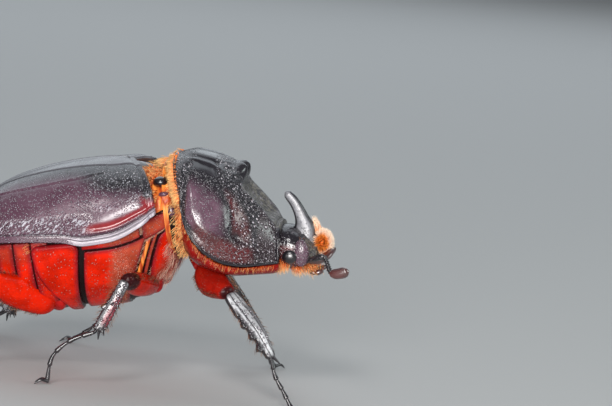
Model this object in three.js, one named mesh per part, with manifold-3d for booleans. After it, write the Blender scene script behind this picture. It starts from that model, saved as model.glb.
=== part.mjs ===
// A rhinoceros beetle, male, life size, standing on its six feet with its prothorax bent down.
//
// Millimetres. The beetle faces +X, its right side is at -Y, and it stands on the plane Z = 0.
// Three frames hold its body: the hind body (elytra, mesothorax, metathorax and abdomen), the fore body
// (the prothorax and its shield, the pronotum) and the head. Each frame has its own pitch. The legs are built
// in the frame of the floor, from the places of their joints.
import * as THREE from "three";
import { mergeVertices } from "three/addons/utils/BufferGeometryUtils.js";
import Module from "manifold-3d";

const wasm = await Module();
wasm.setup();

// ---- Driving dimensions -------------------------------------------------------------------------

// Where the frames of the body's parts stand, and their pitch in degrees.
const HIND_BODY = { x: 0, z: 15.4, pitch: 12 };
const FORE_BODY = { x: 2.98, z: 19.11, pitch: 6 };
const HEAD = { x: 11.6, z: -4.2 }; // in the frame of the fore body
const ORIGIN = { x: -1.33, y: 0.34 }; // the middle of the whole beetle, its legs included
const JOINT_GAP = 0.06; // between solids that meet
const SEAM_GAP = 0.1; // between the two elytra, and between the plates of the hind body

const ELYTRA = {
  halfWidth: 9.9,
  widestX: -11,
  apexX: -21.3,
  peakX: -5,
  height: 6.98, // of the arch over its margin, at the peak
  marginZ: 2.05,
  sutureBaseX: -0.8, // the front edge, beside the scutellum
  shoulderX: 2.35, // the front edge, at the shoulder
  thickness: 0.8,
  roundness: 2.3, // exponent of the arch, where 2 is an ellipse
};
const TRUNK = { frontX: 3.45, rearX: -21.05, inset: 1.0 }; // inset: its depth under the outside of the elytra
const METATHORAX_X = [-6.35, 0.2];
const SUTURE_LEAN = 0.17; // the rear suture of the metathorax leans back below the margin
const PYGIDIUM_X = -19.1;
const PROSTERNUM_X = [1.15, 11.3]; // in the frame of the fore body
const SHIELD_GAP = 0.22; // between the pronotum and the prosternum, which its edge overhangs
const WAIST = { halfWidth: 6.9, halfHeight: 5.25, z: 2.75 };

// ---- Small tools --------------------------------------------------------------------------------

const lerp = THREE.MathUtils.lerp;
const smooth = THREE.MathUtils.smoothstep;
const bump = (distance, width) => Math.exp(-((distance / width) ** 2));

// A power that keeps its base's sign, for arches that are squarer than an ellipse.
const signedPower = (value, exponent) =>
  Math.sign(value) * Math.abs(value) ** exponent;

// A smooth function through stops of [x, value], flat where the stops turn and level at both ends.
function through(stops) {
  const slope = stops.slice(1).map(([x, y], i) => (y - stops[i][1]) / (x - stops[i][0]));
  const tangent = stops.map((_, i) => {
    const before = slope[i - 1];
    const after = slope[i];
    if (before === undefined) return after;
    if (after === undefined) return before;
    return before * after <= 0 ? 0 : (2 * before * after) / (before + after);
  });
  return (x) => {
    let i = 0;
    while (i < stops.length - 2 && x > stops[i + 1][0]) i++;
    const width = stops[i + 1][0] - stops[i][0];
    const t = THREE.MathUtils.clamp((x - stops[i][0]) / width, 0, 1);
    const a = stops[i][1];
    const b = stops[i + 1][1];
    return (
      a * (1 + 2 * t) * (1 - t) ** 2 +
      b * t * t * (3 - 2 * t) +
      width * (tangent[i] * t * (1 - t) ** 2 - tangent[i + 1] * t * t * (1 - t))
    );
  };
}

// Turns a surface's faces round if they point inwards.
function facingOut(geometry) {
  const p = geometry.getAttribute("position");
  const index = geometry.index.array;
  const [a, b, c] = [new THREE.Vector3(), new THREE.Vector3(), new THREE.Vector3()];
  let volume = 0;
  for (let i = 0; i < index.length; i += 3) {
    a.fromBufferAttribute(p, index[i]);
    b.fromBufferAttribute(p, index[i + 1]);
    c.fromBufferAttribute(p, index[i + 2]);
    volume += a.dot(b.cross(c));
  }
  if (volume < 0)
    for (let i = 0; i < index.length; i += 3)
      [index[i + 1], index[i + 2]] = [index[i + 2], index[i + 1]];
  return geometry;
}

// A closed surface from a unit cylinder whose points are moved: place(along, turn, reach) gives the new
// point, with along from 0 to 1, turn in radians, and reach 0 at the middle of an end cap and 1 on the wall.
function swept(rows, columns, place, open = false) {
  const geometry = new THREE.CylinderGeometry(1, 1, 1, columns, rows, open);
  const p = geometry.getAttribute("position");
  for (let i = 0; i < p.count; i++) {
    const turn = Math.atan2(p.getX(i), p.getZ(i));
    const reach = Math.hypot(p.getX(i), p.getZ(i));
    const q = place(THREE.MathUtils.clamp(0.5 - p.getY(i), 0, 1), turn, reach);
    p.setXYZ(i, q.x, q.y, q.z);
  }
  geometry.deleteAttribute("normal");
  geometry.deleteAttribute("uv");
  return facingOut(mergeVertices(geometry, 1e-3));
}

// A limb: a tube round a curve through points. wide and thin give its half sizes from 0 to 1 along it, and
// its thin side faces along the vector face.
function limb(points, rows, columns, wide, thin, face) {
  const curve = new THREE.CatmullRomCurve3(points, false, "centripetal");
  return swept(rows, columns, (along, turn, reach) => {
    const tangent = curve.getTangentAt(along);
    const across = face.clone().addScaledVector(tangent, -face.dot(tangent)).normalize();
    const beside = new THREE.Vector3().crossVectors(tangent, across);
    return curve
      .getPointAt(along)
      .addScaledVector(across, reach * thin(along) * Math.cos(turn))
      .addScaledVector(beside, reach * wide(along) * Math.sin(turn));
  });
}

// A sphere drawn out to three half sizes and moved.
function pebble(halfSizes, centre, across = 12, down = 8) {
  const geometry = new THREE.SphereGeometry(1, across, down);
  geometry.scale(...halfSizes);
  geometry.translate(...centre);
  geometry.deleteAttribute("normal");
  geometry.deleteAttribute("uv");
  return mergeVertices(geometry, 1e-3);
}

function block(low, high) {
  const size = low.map((v, i) => high[i] - v);
  const geometry = new THREE.BoxGeometry(...size);
  geometry.translate(...low.map((v, i) => (v + high[i]) / 2));
  return geometry;
}

// A cutter from an outline in the X-Z plane, from y = near to y = far.
function slab(outline, near, far) {
  const shape = new THREE.Shape(outline.map(([x, z]) => new THREE.Vector2(x, z)));
  const geometry = new THREE.ExtrudeGeometry(shape, { depth: far - near, bevelEnabled: false });
  geometry.rotateX(Math.PI / 2);
  geometry.translate(0, far, 0);
  return geometry;
}

function solidOf(geometry) {
  const bare = (geometry.index ? geometry.toNonIndexed() : geometry).clone();
  for (const name of Object.keys(bare.attributes))
    if (name !== "position") bare.deleteAttribute(name);
  const merged = mergeVertices(bare, 1e-4);
  const triVerts = new Uint32Array(merged.index.array);
  return new wasm.Manifold(
    new wasm.Mesh({ numProp: 3, vertProperties: merged.attributes.position.array, triVerts }),
  );
}

function geometryOf(solid) {
  const mesh = solid.getMesh();
  const geometry = new THREE.BufferGeometry();
  geometry.setAttribute("position", new THREE.BufferAttribute(mesh.vertProperties, 3));
  geometry.setIndex(new THREE.BufferAttribute(mesh.triVerts, 1));
  return geometry;
}

// A cut keeps the largest body that is left.
const cut = (geometry, ...tools) =>
  geometryOf(
    tools
      .reduce((solid, tool) => solid.subtract(solidOf(tool)), solidOf(geometry))
      .decompose()
      .sort((a, b) => b.volume() - a.volume())[0],
  );
const common = (geometry, tool) => geometryOf(solidOf(geometry).intersect(solidOf(tool)));
const joined = (geometry, ...others) =>
  geometryOf(others.reduce((solid, other) => solid.add(solidOf(other)), solidOf(geometry)));

// The same surface, moved outwards by a gap.
function grown(geometry, gap) {
  const bigger = mergeVertices(geometry.clone(), 1e-4);
  bigger.computeVertexNormals();
  const p = bigger.getAttribute("position");
  const n = bigger.getAttribute("normal");
  for (let i = 0; i < p.count; i++)
    p.setXYZ(i, p.getX(i) + gap * n.getX(i), p.getY(i) + gap * n.getY(i), p.getZ(i) + gap * n.getZ(i));
  bigger.deleteAttribute("normal");
  return bigger;
}

// ---- Finishes -----------------------------------------------------------------------------------

const finish = (color, roughness) =>
  new THREE.MeshStandardMaterial({ color, roughness, metalness: 0 });
const BLACK_SHELL = finish(0x17131a, 0.3);
const PURPLE_SHELL = finish(0x3a1a24, 0.28);
const RED_CUTICLE = finish(0x9c1d08, 0.3);
const DARK_LEG = finish(0x1f1518, 0.3);
const ORANGE_HIDE = finish(0xb3571a, 0.8);
const EYE_BLACK = finish(0x080809, 0.1);
const CLUB_BROWN = finish(0x5e2013, 0.35);

function piece(name, geometry, material) {
  const mesh = new THREE.Mesh(geometry, material);
  mesh.name = name;
  return mesh;
}

const degrees = THREE.MathUtils.degToRad;
const point = (x, y, z) => new THREE.Vector3(x, y, z);

// ---- Hind body: lines along its own x axis ------------------------------------------------------

const marginZ = through([
  [-21.8, 0.3], [-18, 1.6], [-14, ELYTRA.marginZ], [-3, 2.15], [0.5, 2.85], [3.5, 3.5],
]);
const bellyZ = through([
  [-21.6, 0], [-20.6, -2.6], [-18.6, -4.7], [-16, -6.2], [-12, -7], [-4.4, -7], [-1, -6.6],
  [1.4, -5], [2.6, -3.7], [3.5, -2.1],
]);
const frontTaper = through([[-1, 0], [TRUNK.frontX, 1.6]]);

// The elytra's half width and height fall to nothing at the apex, each as a quarter of a superellipse.
function elytraHalfWidth(x) {
  const { halfWidth, widestX, apexX, shoulderX } = ELYTRA;
  if (x > widestX) return halfWidth - 0.8 * ((x - widestX) / (shoulderX - widestX)) ** 2;
  return halfWidth * (1 - ((widestX - x) / (widestX - apexX)) ** 2.4) ** (1 / 2.4);
}
function elytraHeight(x) {
  const { height, peakX, apexX } = ELYTRA;
  if (x > peakX) return height - 0.03 * (x - peakX) ** 2;
  return height * Math.sqrt(Math.max(0, 1 - ((peakX - x) / (peakX - apexX)) ** 2));
}

// How far an elytron's folded edge hangs below its margin.
const epipleuron = through([
  [-20, 0], [-14, 0.35], [-8, 0.95], [-5.5, 1.55], [-1.5, 1.3], [0.8, 0.8], [2.35, 0],
]);

// One elytron is a curved plate. Its section is an arch from the suture to the margin and back inside.
function elytron(side) {
  const { apexX, sutureBaseX, shoulderX, thickness, roundness } = ELYTRA;
  const plate = swept(
    14,
    16,
    (along, turn) => {
      const s = 0.5 - 0.5 * Math.cos(Math.PI * along ** 0.9);
      const loop = turn / Math.PI; // from -1 to 0 outside, from 0 to 1 inside
      const angle = (1 - Math.abs(loop)) * (Math.PI / 2);
      const baseX = lerp(sutureBaseX, shoulderX, Math.sin(angle) ** 0.85);
      const x = lerp(baseX, apexX, s);
      const shoulder = 1 - 0.09 * Math.max(0, 1 - s / 0.09) ** 2.5;
      const wall = loop > 0 ? thickness * Math.min(1, 8 * Math.sqrt(along * (1 - along))) : 0;
      const width = Math.max(0, elytraHalfWidth(x) * shoulder - wall);
      const height = Math.max(0, elytraHeight(x) * shoulder - wall);
      const skirt = epipleuron(x) * smooth(angle, 1.3, Math.PI / 2);
      const y = width * signedPower(Math.sin(angle), 2 / roundness) - 0.4 * skirt;
      const z = marginZ(x) - skirt + height * signedPower(Math.cos(angle), 2 / roundness);
      return point(x, side * (y + SEAM_GAP / 2), z);
    },
    true,
  );
  return plate;
}

// The trunk under the elytra: its section is the arch under their plates, and a deeper one below the margin.
function trunk() {
  const { frontX, rearX, inset } = TRUNK;
  const power = 2 / ELYTRA.roundness;
  return swept(17, 18, (along, turn, reach) => {
    const x = lerp(rearX, frontX, 0.5 - 0.5 * Math.cos(Math.PI * along ** 0.9));
    const halfWidth = elytraHalfWidth(x) - inset - frontTaper(x);
    const top = Math.max(0.2, elytraHeight(x) - inset - 0.4 * frontTaper(x));
    const height = Math.cos(turn) > 0 ? top : marginZ(x) - bellyZ(x);
    return point(
      x,
      reach * halfWidth * signedPower(Math.sin(turn), power),
      marginZ(x) + reach * height * signedPower(Math.cos(turn), power),
    );
  });
}

const FAR = 40;
const sutureX = (z) => METATHORAX_X[0] + SUTURE_LEAN * Math.min(0, z);
const COXA_PLATE = [
  [-6.35, 0.1], [-10.2, -0.15], [-11, -0.6], [-11.5, -1.7], [-9.2, -6.2], [-8.9, -9], [sutureX(-9), -9],
];

function buildHindBody() {
  const group = new THREE.Group();
  group.position.set(HIND_BODY.x, 0, HIND_BODY.z);
  group.rotation.y = -degrees(HIND_BODY.pitch);
  const whole = trunk();
  const gap = SEAM_GAP / 2;
  const behind = (x, nudge) => [
    [x(FAR) + nudge, FAR], [x(0) + nudge, 0], [x(-FAR) + nudge, -FAR], [-FAR, -FAR], [-FAR, FAR],
  ];
  const rearHalf = slab(behind(sutureX, -gap), -FAR, FAR);
  const rearRoom = slab(behind(sutureX, gap), -FAR, FAR);
  const between = (lowX, highX) => block([lowX + gap, -FAR, -FAR], [highX - gap, FAR, FAR]);
  const plate = slab(COXA_PLATE, -FAR, FAR);
  const roomAround = ([x, z]) => [x - (x < -8 ? 2 * gap : 0), z + (z > -2 ? 2 * gap : 0)];
  const plateRoom = slab(COXA_PLATE.map(roomAround), -FAR, FAR);
  const rear = common(whole, rearHalf);
  const coxae = common(rear, plate);
  const sides = {
    right: block([-FAR, -FAR, -FAR], [FAR, -gap, FAR]),
    left: block([-FAR, gap, -FAR], [FAR, FAR, FAR]),
  };
  const afterCoxae = cut(rear, plateRoom);
  group.add(
    piece("mesothorax", common(whole, between(METATHORAX_X[1], FAR)), RED_CUTICLE),
    piece("metathorax", cut(common(whole, between(-FAR, METATHORAX_X[1])), rearRoom), RED_CUTICLE),
    piece("abdomen", common(afterCoxae, between(PYGIDIUM_X, FAR)), RED_CUTICLE),
    piece("pygidium", common(afterCoxae, between(-FAR, PYGIDIUM_X)), RED_CUTICLE),
    piece("elytron_left", elytron(1), PURPLE_SHELL),
    piece("elytron_right", elytron(-1), PURPLE_SHELL),
  );
  for (const side of ["left", "right"])
    group.add(piece("coxa_hind_" + side, common(coxae, sides[side]), RED_CUTICLE));
  group.add(piece("scutellum", scutellum(), BLACK_SHELL), piece("waist", waist(), ORANGE_HIDE));
  return group;
}

// A small arched triangle between the elytra's front corners. It slopes down to the waist.
function scutellum() {
  return swept(5, 10, (along, turn, reach) => {
    const x = lerp(-2.4, 3.3, along);
    const halfWidth = 1.75 * smooth(along, -0.25, 0.55) * (1 - 0.35 * along ** 3);
    const arch = reach * 0.32 * Math.cos(turn) - 0.25 * (reach * Math.sin(turn)) ** 2;
    const z = 8.42 - 1.15 * along ** 1.3 + arch;
    return point(x, reach * halfWidth * Math.sin(turn), z);
  });
}

// The soft joint between the mesothorax and the prothorax.
function waist() {
  const start = point(TRUNK.frontX + JOINT_GAP, 0, WAIST.z);
  const end = point(TRUNK.frontX + 4.6, 0, WAIST.z - 1.0);
  return swept(4, 20, (along, turn, reach) => {
    const size = 1 - 0.05 * Math.sin(Math.PI * along) - 0.1 * along;
    return start
      .clone()
      .lerp(end, along)
      .add(
        point(
          0,
          reach * size * WAIST.halfWidth * signedPower(Math.sin(turn), 0.87),
          reach * size * WAIST.halfHeight * signedPower(Math.cos(turn), 0.87),
        ),
      );
  });
}

// ---- Fore body ----------------------------------------------------------------------------------

// The pronotum by s, from 0 at its rear edge to 1 at its front edge: the line over its middle as if it had no
// hollow, and its side margin.
const CREST = 0.57; // where the disc ends and the sloping face begins
const middleX = through([
  [0, -0.3], [0.13, 1.6], [0.27, 3.4], [0.47, 5.75], [CREST, 7.0], [0.61, 7.4], [0.77, 9.2],
  [0.94, 10.6], [1, 11.4],
]);
const middleZ = through([
  [0, 5.8], [0.13, 6.2], [0.27, 5.9], [0.47, 5.1], [CREST, 4.2], [0.61, 3.4], [0.77, 1.3],
  [0.94, -0.5], [1, -1.8],
]);
const sideX = through([
  [0, 1.05], [0.1, 1.35], [0.2, 1.8], [0.3, 2.75], [0.42, 4.3], [0.55, 6.2], [0.7, 8.2], [1, 11.45],
]);
const sideZ = through([
  [0, 1.7], [0.1, 0.2], [0.2, -1.3], [0.3, -2.9], [0.42, -4.4], [0.55, -5.35], [0.7, -5.7], [1, -5.6],
]);
const sideY = through([[0, 7.2], [0.1, 8], [0.2, 8.65], [0.32, 8.9], [0.5, 8.3], [0.7, 6.9], [1, 4.7]]);
const HOLLOW = { depth: 1.15, halfWidth: 3 };
const RIM = { y: 3.9, width: 0.8, height: 0.25 };
const TUBERCLE = { y: 1.25, width: 0.8, length: 0.035, reach: 0.75 };

function pronotum() {
  return swept(17, 22, (along, turn, reach) => {
    const s = along;
    const top = Math.abs(turn) < Math.PI / 2;
    const power = lerp(0.88, 0.7, smooth(s, 0.6, 1));
    const y = sideY(s) * signedPower(Math.sin(turn), power);
    const up = top ? Math.cos(turn) ** power : 0;
    const face = smooth(s, CREST, CREST + 0.12) * (1 - smooth(s, 0.88, 1));
    const rim = RIM.height * bump(Math.abs(y) - RIM.y, RIM.width);
    const hollow = HOLLOW.depth * Math.exp(-((y / HOLLOW.halfWidth) ** 4));
    const { reach: height, width, length } = TUBERCLE;
    const knob = height * bump(Math.abs(y) - TUBERCLE.y, width) * bump(s - CREST, length);
    const raise = top ? 0.7 * face * (rim - hollow) : 0;
    const x = lerp(sideX(s), middleX(s), up) + raise + (top ? knob : 0);
    const z = lerp(sideZ(s), middleZ(s), up) + raise + (top ? 0.25 * knob : 0);
    const centreX = lerp(sideX(s), middleX(s), 0.45);
    const centreZ = lerp(sideZ(s), middleZ(s), 0.45);
    return point(lerp(centreX, x, reach), y * reach, lerp(centreZ, z, reach));
  });
}

// The prothorax below its shield, from the soft flanks behind the shield's edge to the throat.
const sternumTopZ = through([
  [1, 1.8], [1.35, 0.2], [1.8, -1.3], [2.75, -2.9], [4.3, -4.4], [6.2, -5.35], [8.2, -5.7], [11.4, -5.6],
]);
const sternumBottomZ = through([[1, -4.9], [3, -6.4], [6.5, -7.25], [10.5, -7.2], [11.4, -6.9]]);
const sternumHalfWidth = through([[1, 6.6], [2.4, 7.8], [4.3, 8], [6.3, 7.4], [8.2, 6.1], [11.4, 3.7]]);

function prosternum() {
  return swept(8, 18, (along, turn, reach) => {
    const x = lerp(...PROSTERNUM_X, along);
    const down = Math.max(0, -Math.cos(turn));
    const top = sternumTopZ(x + SHIELD_GAP) - SHIELD_GAP;
    const y = sternumHalfWidth(x) * signedPower(Math.sin(turn), 0.8);
    const z = lerp(top, sternumBottomZ(x), down ** 0.75);
    return point(x, y * reach, lerp((top + sternumBottomZ(x)) / 2, z, reach));
  });
}

function buildForeBody() {
  const group = new THREE.Group();
  group.position.set(FORE_BODY.x, 0, FORE_BODY.z);
  group.rotation.y = -degrees(FORE_BODY.pitch);
  group.add(
    piece("pronotum", pronotum(), BLACK_SHELL),
    piece("prosternum", prosternum(), RED_CUTICLE),
    buildHead(),
  );
  return group;
}

// ---- Head ---------------------------------------------------------------------------------------

const headHalfWidth = through([[0, 2.8], [0.35, 3.2], [0.55, 3.15], [0.72, 2.35], [0.9, 1.75], [1, 1.35]]);
const headTopZ = through([[0, 2.2], [0.3, 2.3], [0.6, 1.55], [0.85, 0.45], [1, -0.15]]);
const headBottomZ = through([[0, -2.3], [0.4, -2.6], [0.8, -2.1], [1, -1.15]]);

function headCapsule() {
  return swept(8, 14, (along, turn, reach) => {
    const middle = (headTopZ(along) + headBottomZ(along)) / 2;
    const height = (headTopZ(along) - headBottomZ(along)) / 2;
    return point(
      lerp(-0.9, 3.9, along),
      reach * headHalfWidth(along) * signedPower(Math.sin(turn), 0.85),
      middle + reach * height * signedPower(Math.cos(turn), 0.85),
    );
  });
}

// The horn rises from the forehead and curves back to a blunt tip.
function horn() {
  const places = [[2.05, 0.2], [2.2, 1.6], [1.75, 3.3], [1.0, 4.75], [0.05, 5.85]];
  const path = places.map(([x, z]) => point(x, 0, z));
  const wide = through([[0, 1.45], [0.25, 1.12], [0.5, 0.62], [0.75, 0.48], [0.93, 0.44], [1, 0.26]]);
  const thin = through([[0, 1.15], [0.25, 0.8], [0.5, 0.5], [0.75, 0.42], [0.93, 0.4], [1, 0.24]]);
  return limb(path, 9, 8, wide, thin, point(0, 1, 0));
}

// The tuft of stiff hair before the horn: a ball, and a lock that stands up along the horn.
function mouthBrush() {
  const lock = [point(3.9, 0, 0.4), point(3.75, 0, 1.9), point(3.35, 0, 3.1)];
  const size = through([[0, 0.9], [0.5, 0.6], [1, 0.28]]);
  const ball = pebble([1.05, 1.35, 1.35], [4.2, 0, 0.4], 10, 7);
  return joined(ball, limb(lock, 3, 6, size, size, point(0, 1, 0)));
}

// The places of the antennae, which aren't held alike: the scape and the bent stalk, then the club.
const ANTENNAE = {
  right: {
    stalk: [[2.5, -2.5, -1.55], [3.6, -3.4, -1.1], [4.75, -4, -0.75], [5.4, -4.45, -2.1]],
    club: [[5.4, -4.5, -2.45], [6.4, -4.85, -2.4], [7.6, -5.1, -2.05]],
  },
  left: {
    stalk: [[2.5, 2.5, -1.55], [3.1, 3.3, -1.3], [3.4, 4.4, -1.15], [3.35, 5.6, -1.2]],
    club: [[3.4, 5.95, -1.2], [3.5, 6.95, -1.1], [3.75, 8.1, -0.8]],
  },
};

function antennaStalk(name) {
  const path = ANTENNAE[name].stalk.map((p) => point(...p));
  const size = through([[0, 0.4], [0.2, 0.32], [0.55, 0.36], [0.62, 0.27], [1, 0.28]]);
  return limb(path, 9, 6, size, size, point(0, 1, 0));
}

function antennaClub(name) {
  const path = ANTENNAE[name].club.map((p) => point(...p));
  const wide = through([[0, 0.34], [0.3, 0.54], [0.7, 0.58], [0.92, 0.42], [1, 0.2]]);
  const thin = through([[0, 0.3], [0.4, 0.44], [0.85, 0.38], [1, 0.18]]);
  return limb(path, 6, 7, wide, thin, point(0, 1, 0));
}

function mandible(side) {
  const places = [[2.9, 1.5, -1.5], [4.2, 1.65, -1.3], [5.0, 1.15, -0.75], [5.3, 0.55, -0.3]];
  const path = places.map(([x, y, z]) => point(x, y * side, z));
  const wide = through([[0, 0.75], [0.5, 0.7], [0.85, 0.4], [1, 0.22]]);
  const thin = through([[0, 0.5], [0.6, 0.42], [1, 0.25]]);
  return limb(path, 5, 7, wide, thin, point(0, 0, 1));
}

function palp(side) {
  const places = [[2.3, 1.1, -2.15], [3.1, 1.6, -2.75], [3.7, 1.7, -2.8], [4.4, 1.5, -2.55]];
  const path = places.map(([x, y, z]) => point(x, y * side, z));
  const size = through([[0, 0.3], [0.3, 0.26], [0.8, 0.32], [1, 0.2]]);
  return limb(path, 5, 5, size, size, point(0, 1, 0));
}

function buildHead() {
  const group = new THREE.Group();
  group.position.set(HEAD.x, 0, HEAD.z);
  group.add(
    piece("head", headCapsule(), BLACK_SHELL),
    piece("horn", horn(), BLACK_SHELL),
    piece("mouth_brush", mouthBrush(), ORANGE_HIDE),
  );
  for (const [name, side] of [["left", 1], ["right", -1]])
    group.add(
      piece("eye_" + name, pebble([0.95, 0.8, 0.95], [1.05, 2.75 * side, -0.7], 10, 7), EYE_BLACK),
      piece("antenna_stalk_" + name, antennaStalk(name), DARK_LEG),
      piece("antenna_club_" + name, antennaClub(name), CLUB_BROWN),
      piece("mandible_" + name, mandible(side), CLUB_BROWN),
      piece("palp_" + name, palp(side), CLUB_BROWN),
    );
  return group;
}

// ---- Legs ---------------------------------------------------------------------------------------

// Each pair of legs: the half sizes of its limbs, the way the tibia's toothed edge faces, and the places of
// its joints, with y outwards from the middle plane. root is where the coxa starts, inside the body. The
// knee, the points along the tibia and tarsus, and the toe differ from side to side, as each foot has made
// its own step.
const LEGS = {
  front: {
    coxa: 1.3, femur: [1.7, 1.35], tibia: [1.1, 0.5], edge: [-0.42, 0.82, -0.38],
    profile: [[0, 0.66], [0.15, 0.9], [0.4, 1], [0.8, 0.72], [1, 0.5]],
    root: [5.6, 1.9, 14.6], hip: [6.9, 3.4, 13.2], sag: [-0.35, 0, -0.45],
    steps: {
      right: {
        knee: [10.35, 9, 11.6], shin: [14.1, 10, 7.9], ankle: [15.95, 10.5, 5.35],
        foot: [[16.54, 10.8, 3.6], [17.6, 11, 2.05]], toe: [20, 11.5],
      },
      left: {
        knee: [7, 9, 11.3], shin: [9.9, 9.6, 7.4], ankle: [12.15, 10.1, 4.5],
        foot: [[12.95, 10.3, 2.6], [13.6, 10.8, 0.9]], toe: [14.4, 13],
      },
    },
  },
  middle: {
    coxa: 1.25, femur: [1.45, 1.25], tibia: [0.66, 0.55], edge: [-0.85, 0.2, -0.35],
    profile: [[0, 0.6], [0.3, 0.72], [0.8, 1], [1, 0.9]],
    root: [1.5, 2, 11.7], hip: [1.4, 4.2, 10.4], sag: [0, 0, -0.1],
    steps: {
      right: {
        knee: [-0.4, 11.4, 12.1], shin: [-1.55, 12, 9.2], ankle: [-2.75, 12.5, 6.35],
        foot: [[-5.6, 12.7, 4.95], [-7.25, 12.9, 3.1]], toe: [-8.9, 13.1],
      },
      left: {
        knee: [-2.1, 11.4, 11.7], shin: [-3.4, 12, 8.7], ankle: [-4.8, 12.3, 5.7],
        foot: [[-6.3, 12.35, 3.2], [-8, 12.45, 1.6]], toe: [-11, 12.7],
      },
    },
  },
  hind: {
    coxa: 1.25, femur: [1.85, 1.1], tibia: [1.15, 0.8], edge: [-0.75, 0.6, 0.1],
    profile: [[0, 0.5], [0.3, 0.65], [0.85, 1], [1, 0.9]],
    root: [-8.3, 3.4, 8.45], hip: [-9.1, 4.8, 7.1], sag: [-0.2, 0, 0.15],
    steps: {
      right: {
        knee: [-15.5, 10.2, 9.9], shin: [-17.3, 11.3, 6.3], ankle: [-19.1, 12.2, 2.8],
        foot: [[-20.8, 12.6, 1.9], [-22.6, 13, 1]], toe: [-25.3, 13.9],
      },
      left: {
        knee: [-14.6, 10.4, 9.8], shin: [-16.1, 11.6, 6.2], ankle: [-17.5, 12.6, 2.7],
        foot: [[-19.2, 13, 1.8], [-21, 13.5, 0.95]], toe: [-23.6, 14.6],
      },
    },
  },
};
const LEG_GAP = 0.12; // between two limbs, along their axes

// A point on the way from a to b, a length short of b.
const shortOf = (a, b, length) => b.clone().addScaledVector(b.clone().sub(a).normalize(), -length);

function jointsOf(leg, side) {
  const step = leg.steps[side > 0 ? "left" : "right"];
  const place = ([x, y, z]) => point(x, side * y, z);
  return {
    root: place(leg.root),
    hip: place(leg.hip),
    sag: place(leg.sag),
    knee: place(step.knee),
    shin: place(step.shin),
    ankle: place(step.ankle),
    foot: step.foot.map(place),
    toe: point(step.toe[0], side * step.toe[1], 0),
    edge: place(leg.edge).normalize(),
  };
}

function femur(leg, j) {
  const start = shortOf(j.knee, j.hip, LEG_GAP);
  const end = shortOf(j.hip, j.knee, -0.2);
  const middle = start.clone().lerp(end, 0.5).add(j.sag);
  const share = through([[0, 0.5], [0.2, 0.85], [0.5, 1], [0.8, 0.74], [0.95, 0.56], [1, 0.3]]);
  const flat = new THREE.Vector3().crossVectors(j.edge, end.clone().sub(start)).normalize();
  const [wide, thin] = leg.femur.map((size) => (u) => size * share(u));
  return limb([start, middle, end], 6, 8, wide, thin, flat);
}

// A tibia is flattened. Its outer edge bears teeth, and two spurs stand at its lower end.
function tibia(leg, j, teeth) {
  const start = shortOf(j.ankle, j.knee, 0.1);
  const along = j.ankle.clone().sub(start);
  const length = along.length();
  const ahead = along.clone().normalize();
  const edge = j.edge.clone().addScaledVector(ahead, -j.edge.dot(ahead)).normalize();
  const flat = new THREE.Vector3().crossVectors(ahead, edge);
  const path = [start, j.shin, j.ankle];
  const curve = new THREE.CatmullRomCurve3(path, false, "centripetal");
  const wide = through(leg.profile);
  const thin = through([[0, 0.9], [0.5, 1], [1, 0.8]]);
  const bare = limb(path, 6, 8, (u) => leg.tibia[0] * wide(u), (u) => leg.tibia[1] * thin(u), flat);
  const spike = (share, reach, size, spread, lean) => {
    const cone = new THREE.ConeGeometry(size, reach, 4);
    cone.translate(0, reach / 2, 0);
    const aim = edge.clone().multiplyScalar(spread).addScaledVector(ahead, lean).normalize();
    cone.applyQuaternion(new THREE.Quaternion().setFromUnitVectors(point(0, 1, 0), aim));
    const at = curve.getPointAt(share);
    cone.translate(at.x, at.y, at.z);
    return cone;
  };
  const outer = teeth.map(([at, reach]) => spike(at, leg.tibia[0] * wide(at) + reach, 0.5, 1, 0.45));
  const spurs = [0.6, -0.6].map((spread) => spike(0.93, 0.2 * length, 0.33, spread, 1.5));
  return joined(bare, ...outer, ...spurs);
}

// A tarsus is five beads in a row and two claws, cut flat where it stands on the floor.
function tarsus(j) {
  const start = j.ankle.clone().lerp(j.foot[0], 0.24);
  const back = j.foot[1].clone().sub(j.toe).setZ(0).normalize();
  const pad = j.toe.clone().addScaledVector(back, 1.3).setZ(0.2);
  const size = (u) => 0.25 + 0.06 * Math.abs(Math.sin(Math.PI * 5 * u)) ** 0.7;
  const beads = limb([start, ...j.foot, pad], 8, 5, size, size, point(0, 0, 1));
  const sideways = new THREE.Vector3().crossVectors(back, point(0, 0, 1));
  const claws = [1, -1].map((spread) =>
    limb(
      [
        pad.clone().addScaledVector(back, 0.3),
        pad.clone().addScaledVector(back, -0.6).addScaledVector(sideways, spread * 0.4),
        j.toe.clone().addScaledVector(sideways, spread * 0.6).setZ(0.13),
      ],
      2,
      5,
      () => 0.25,
      () => 0.25,
      point(0, 0, 1),
    ),
  );
  return cut(joined(beads, ...claws), block([-FAR, -FAR, -5], [FAR, FAR, 0]));
}

function coxa(leg, j) {
  const middle = j.root.clone().lerp(j.hip, 0.5);
  return limb([j.root, middle, j.hip], 4, 8, () => leg.coxa, () => leg.coxa * 0.85, j.edge);
}

function buildLegs() {
  const group = new THREE.Group();
  const teeth = {
    front: [[0.4, 0.3], [0.62, 0.45], [0.82, 0.55]],
    middle: [[0.6, 0.3]],
    hind: [[0.42, 0.35], [0.7, 0.45]],
  };
  for (const [place, leg] of Object.entries(LEGS))
    for (const [name, side] of [["left", 1], ["right", -1]]) {
      const j = jointsOf(leg, side);
      const label = place + "_" + name;
      const hipName = place === "hind" ? "trochanter_" : "coxa_";
      group.add(
        piece(hipName + label, coxa(leg, j), RED_CUTICLE),
        piece("femur_" + label, femur(leg, j), RED_CUTICLE),
        piece("tibia_" + label, tibia(leg, j, teeth[place]), DARK_LEG),
        piece("tarsus_" + label, tarsus(j), DARK_LEG),
      );
    }
  return group;
}

// ---- Fitting ------------------------------------------------------------------------------------

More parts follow.
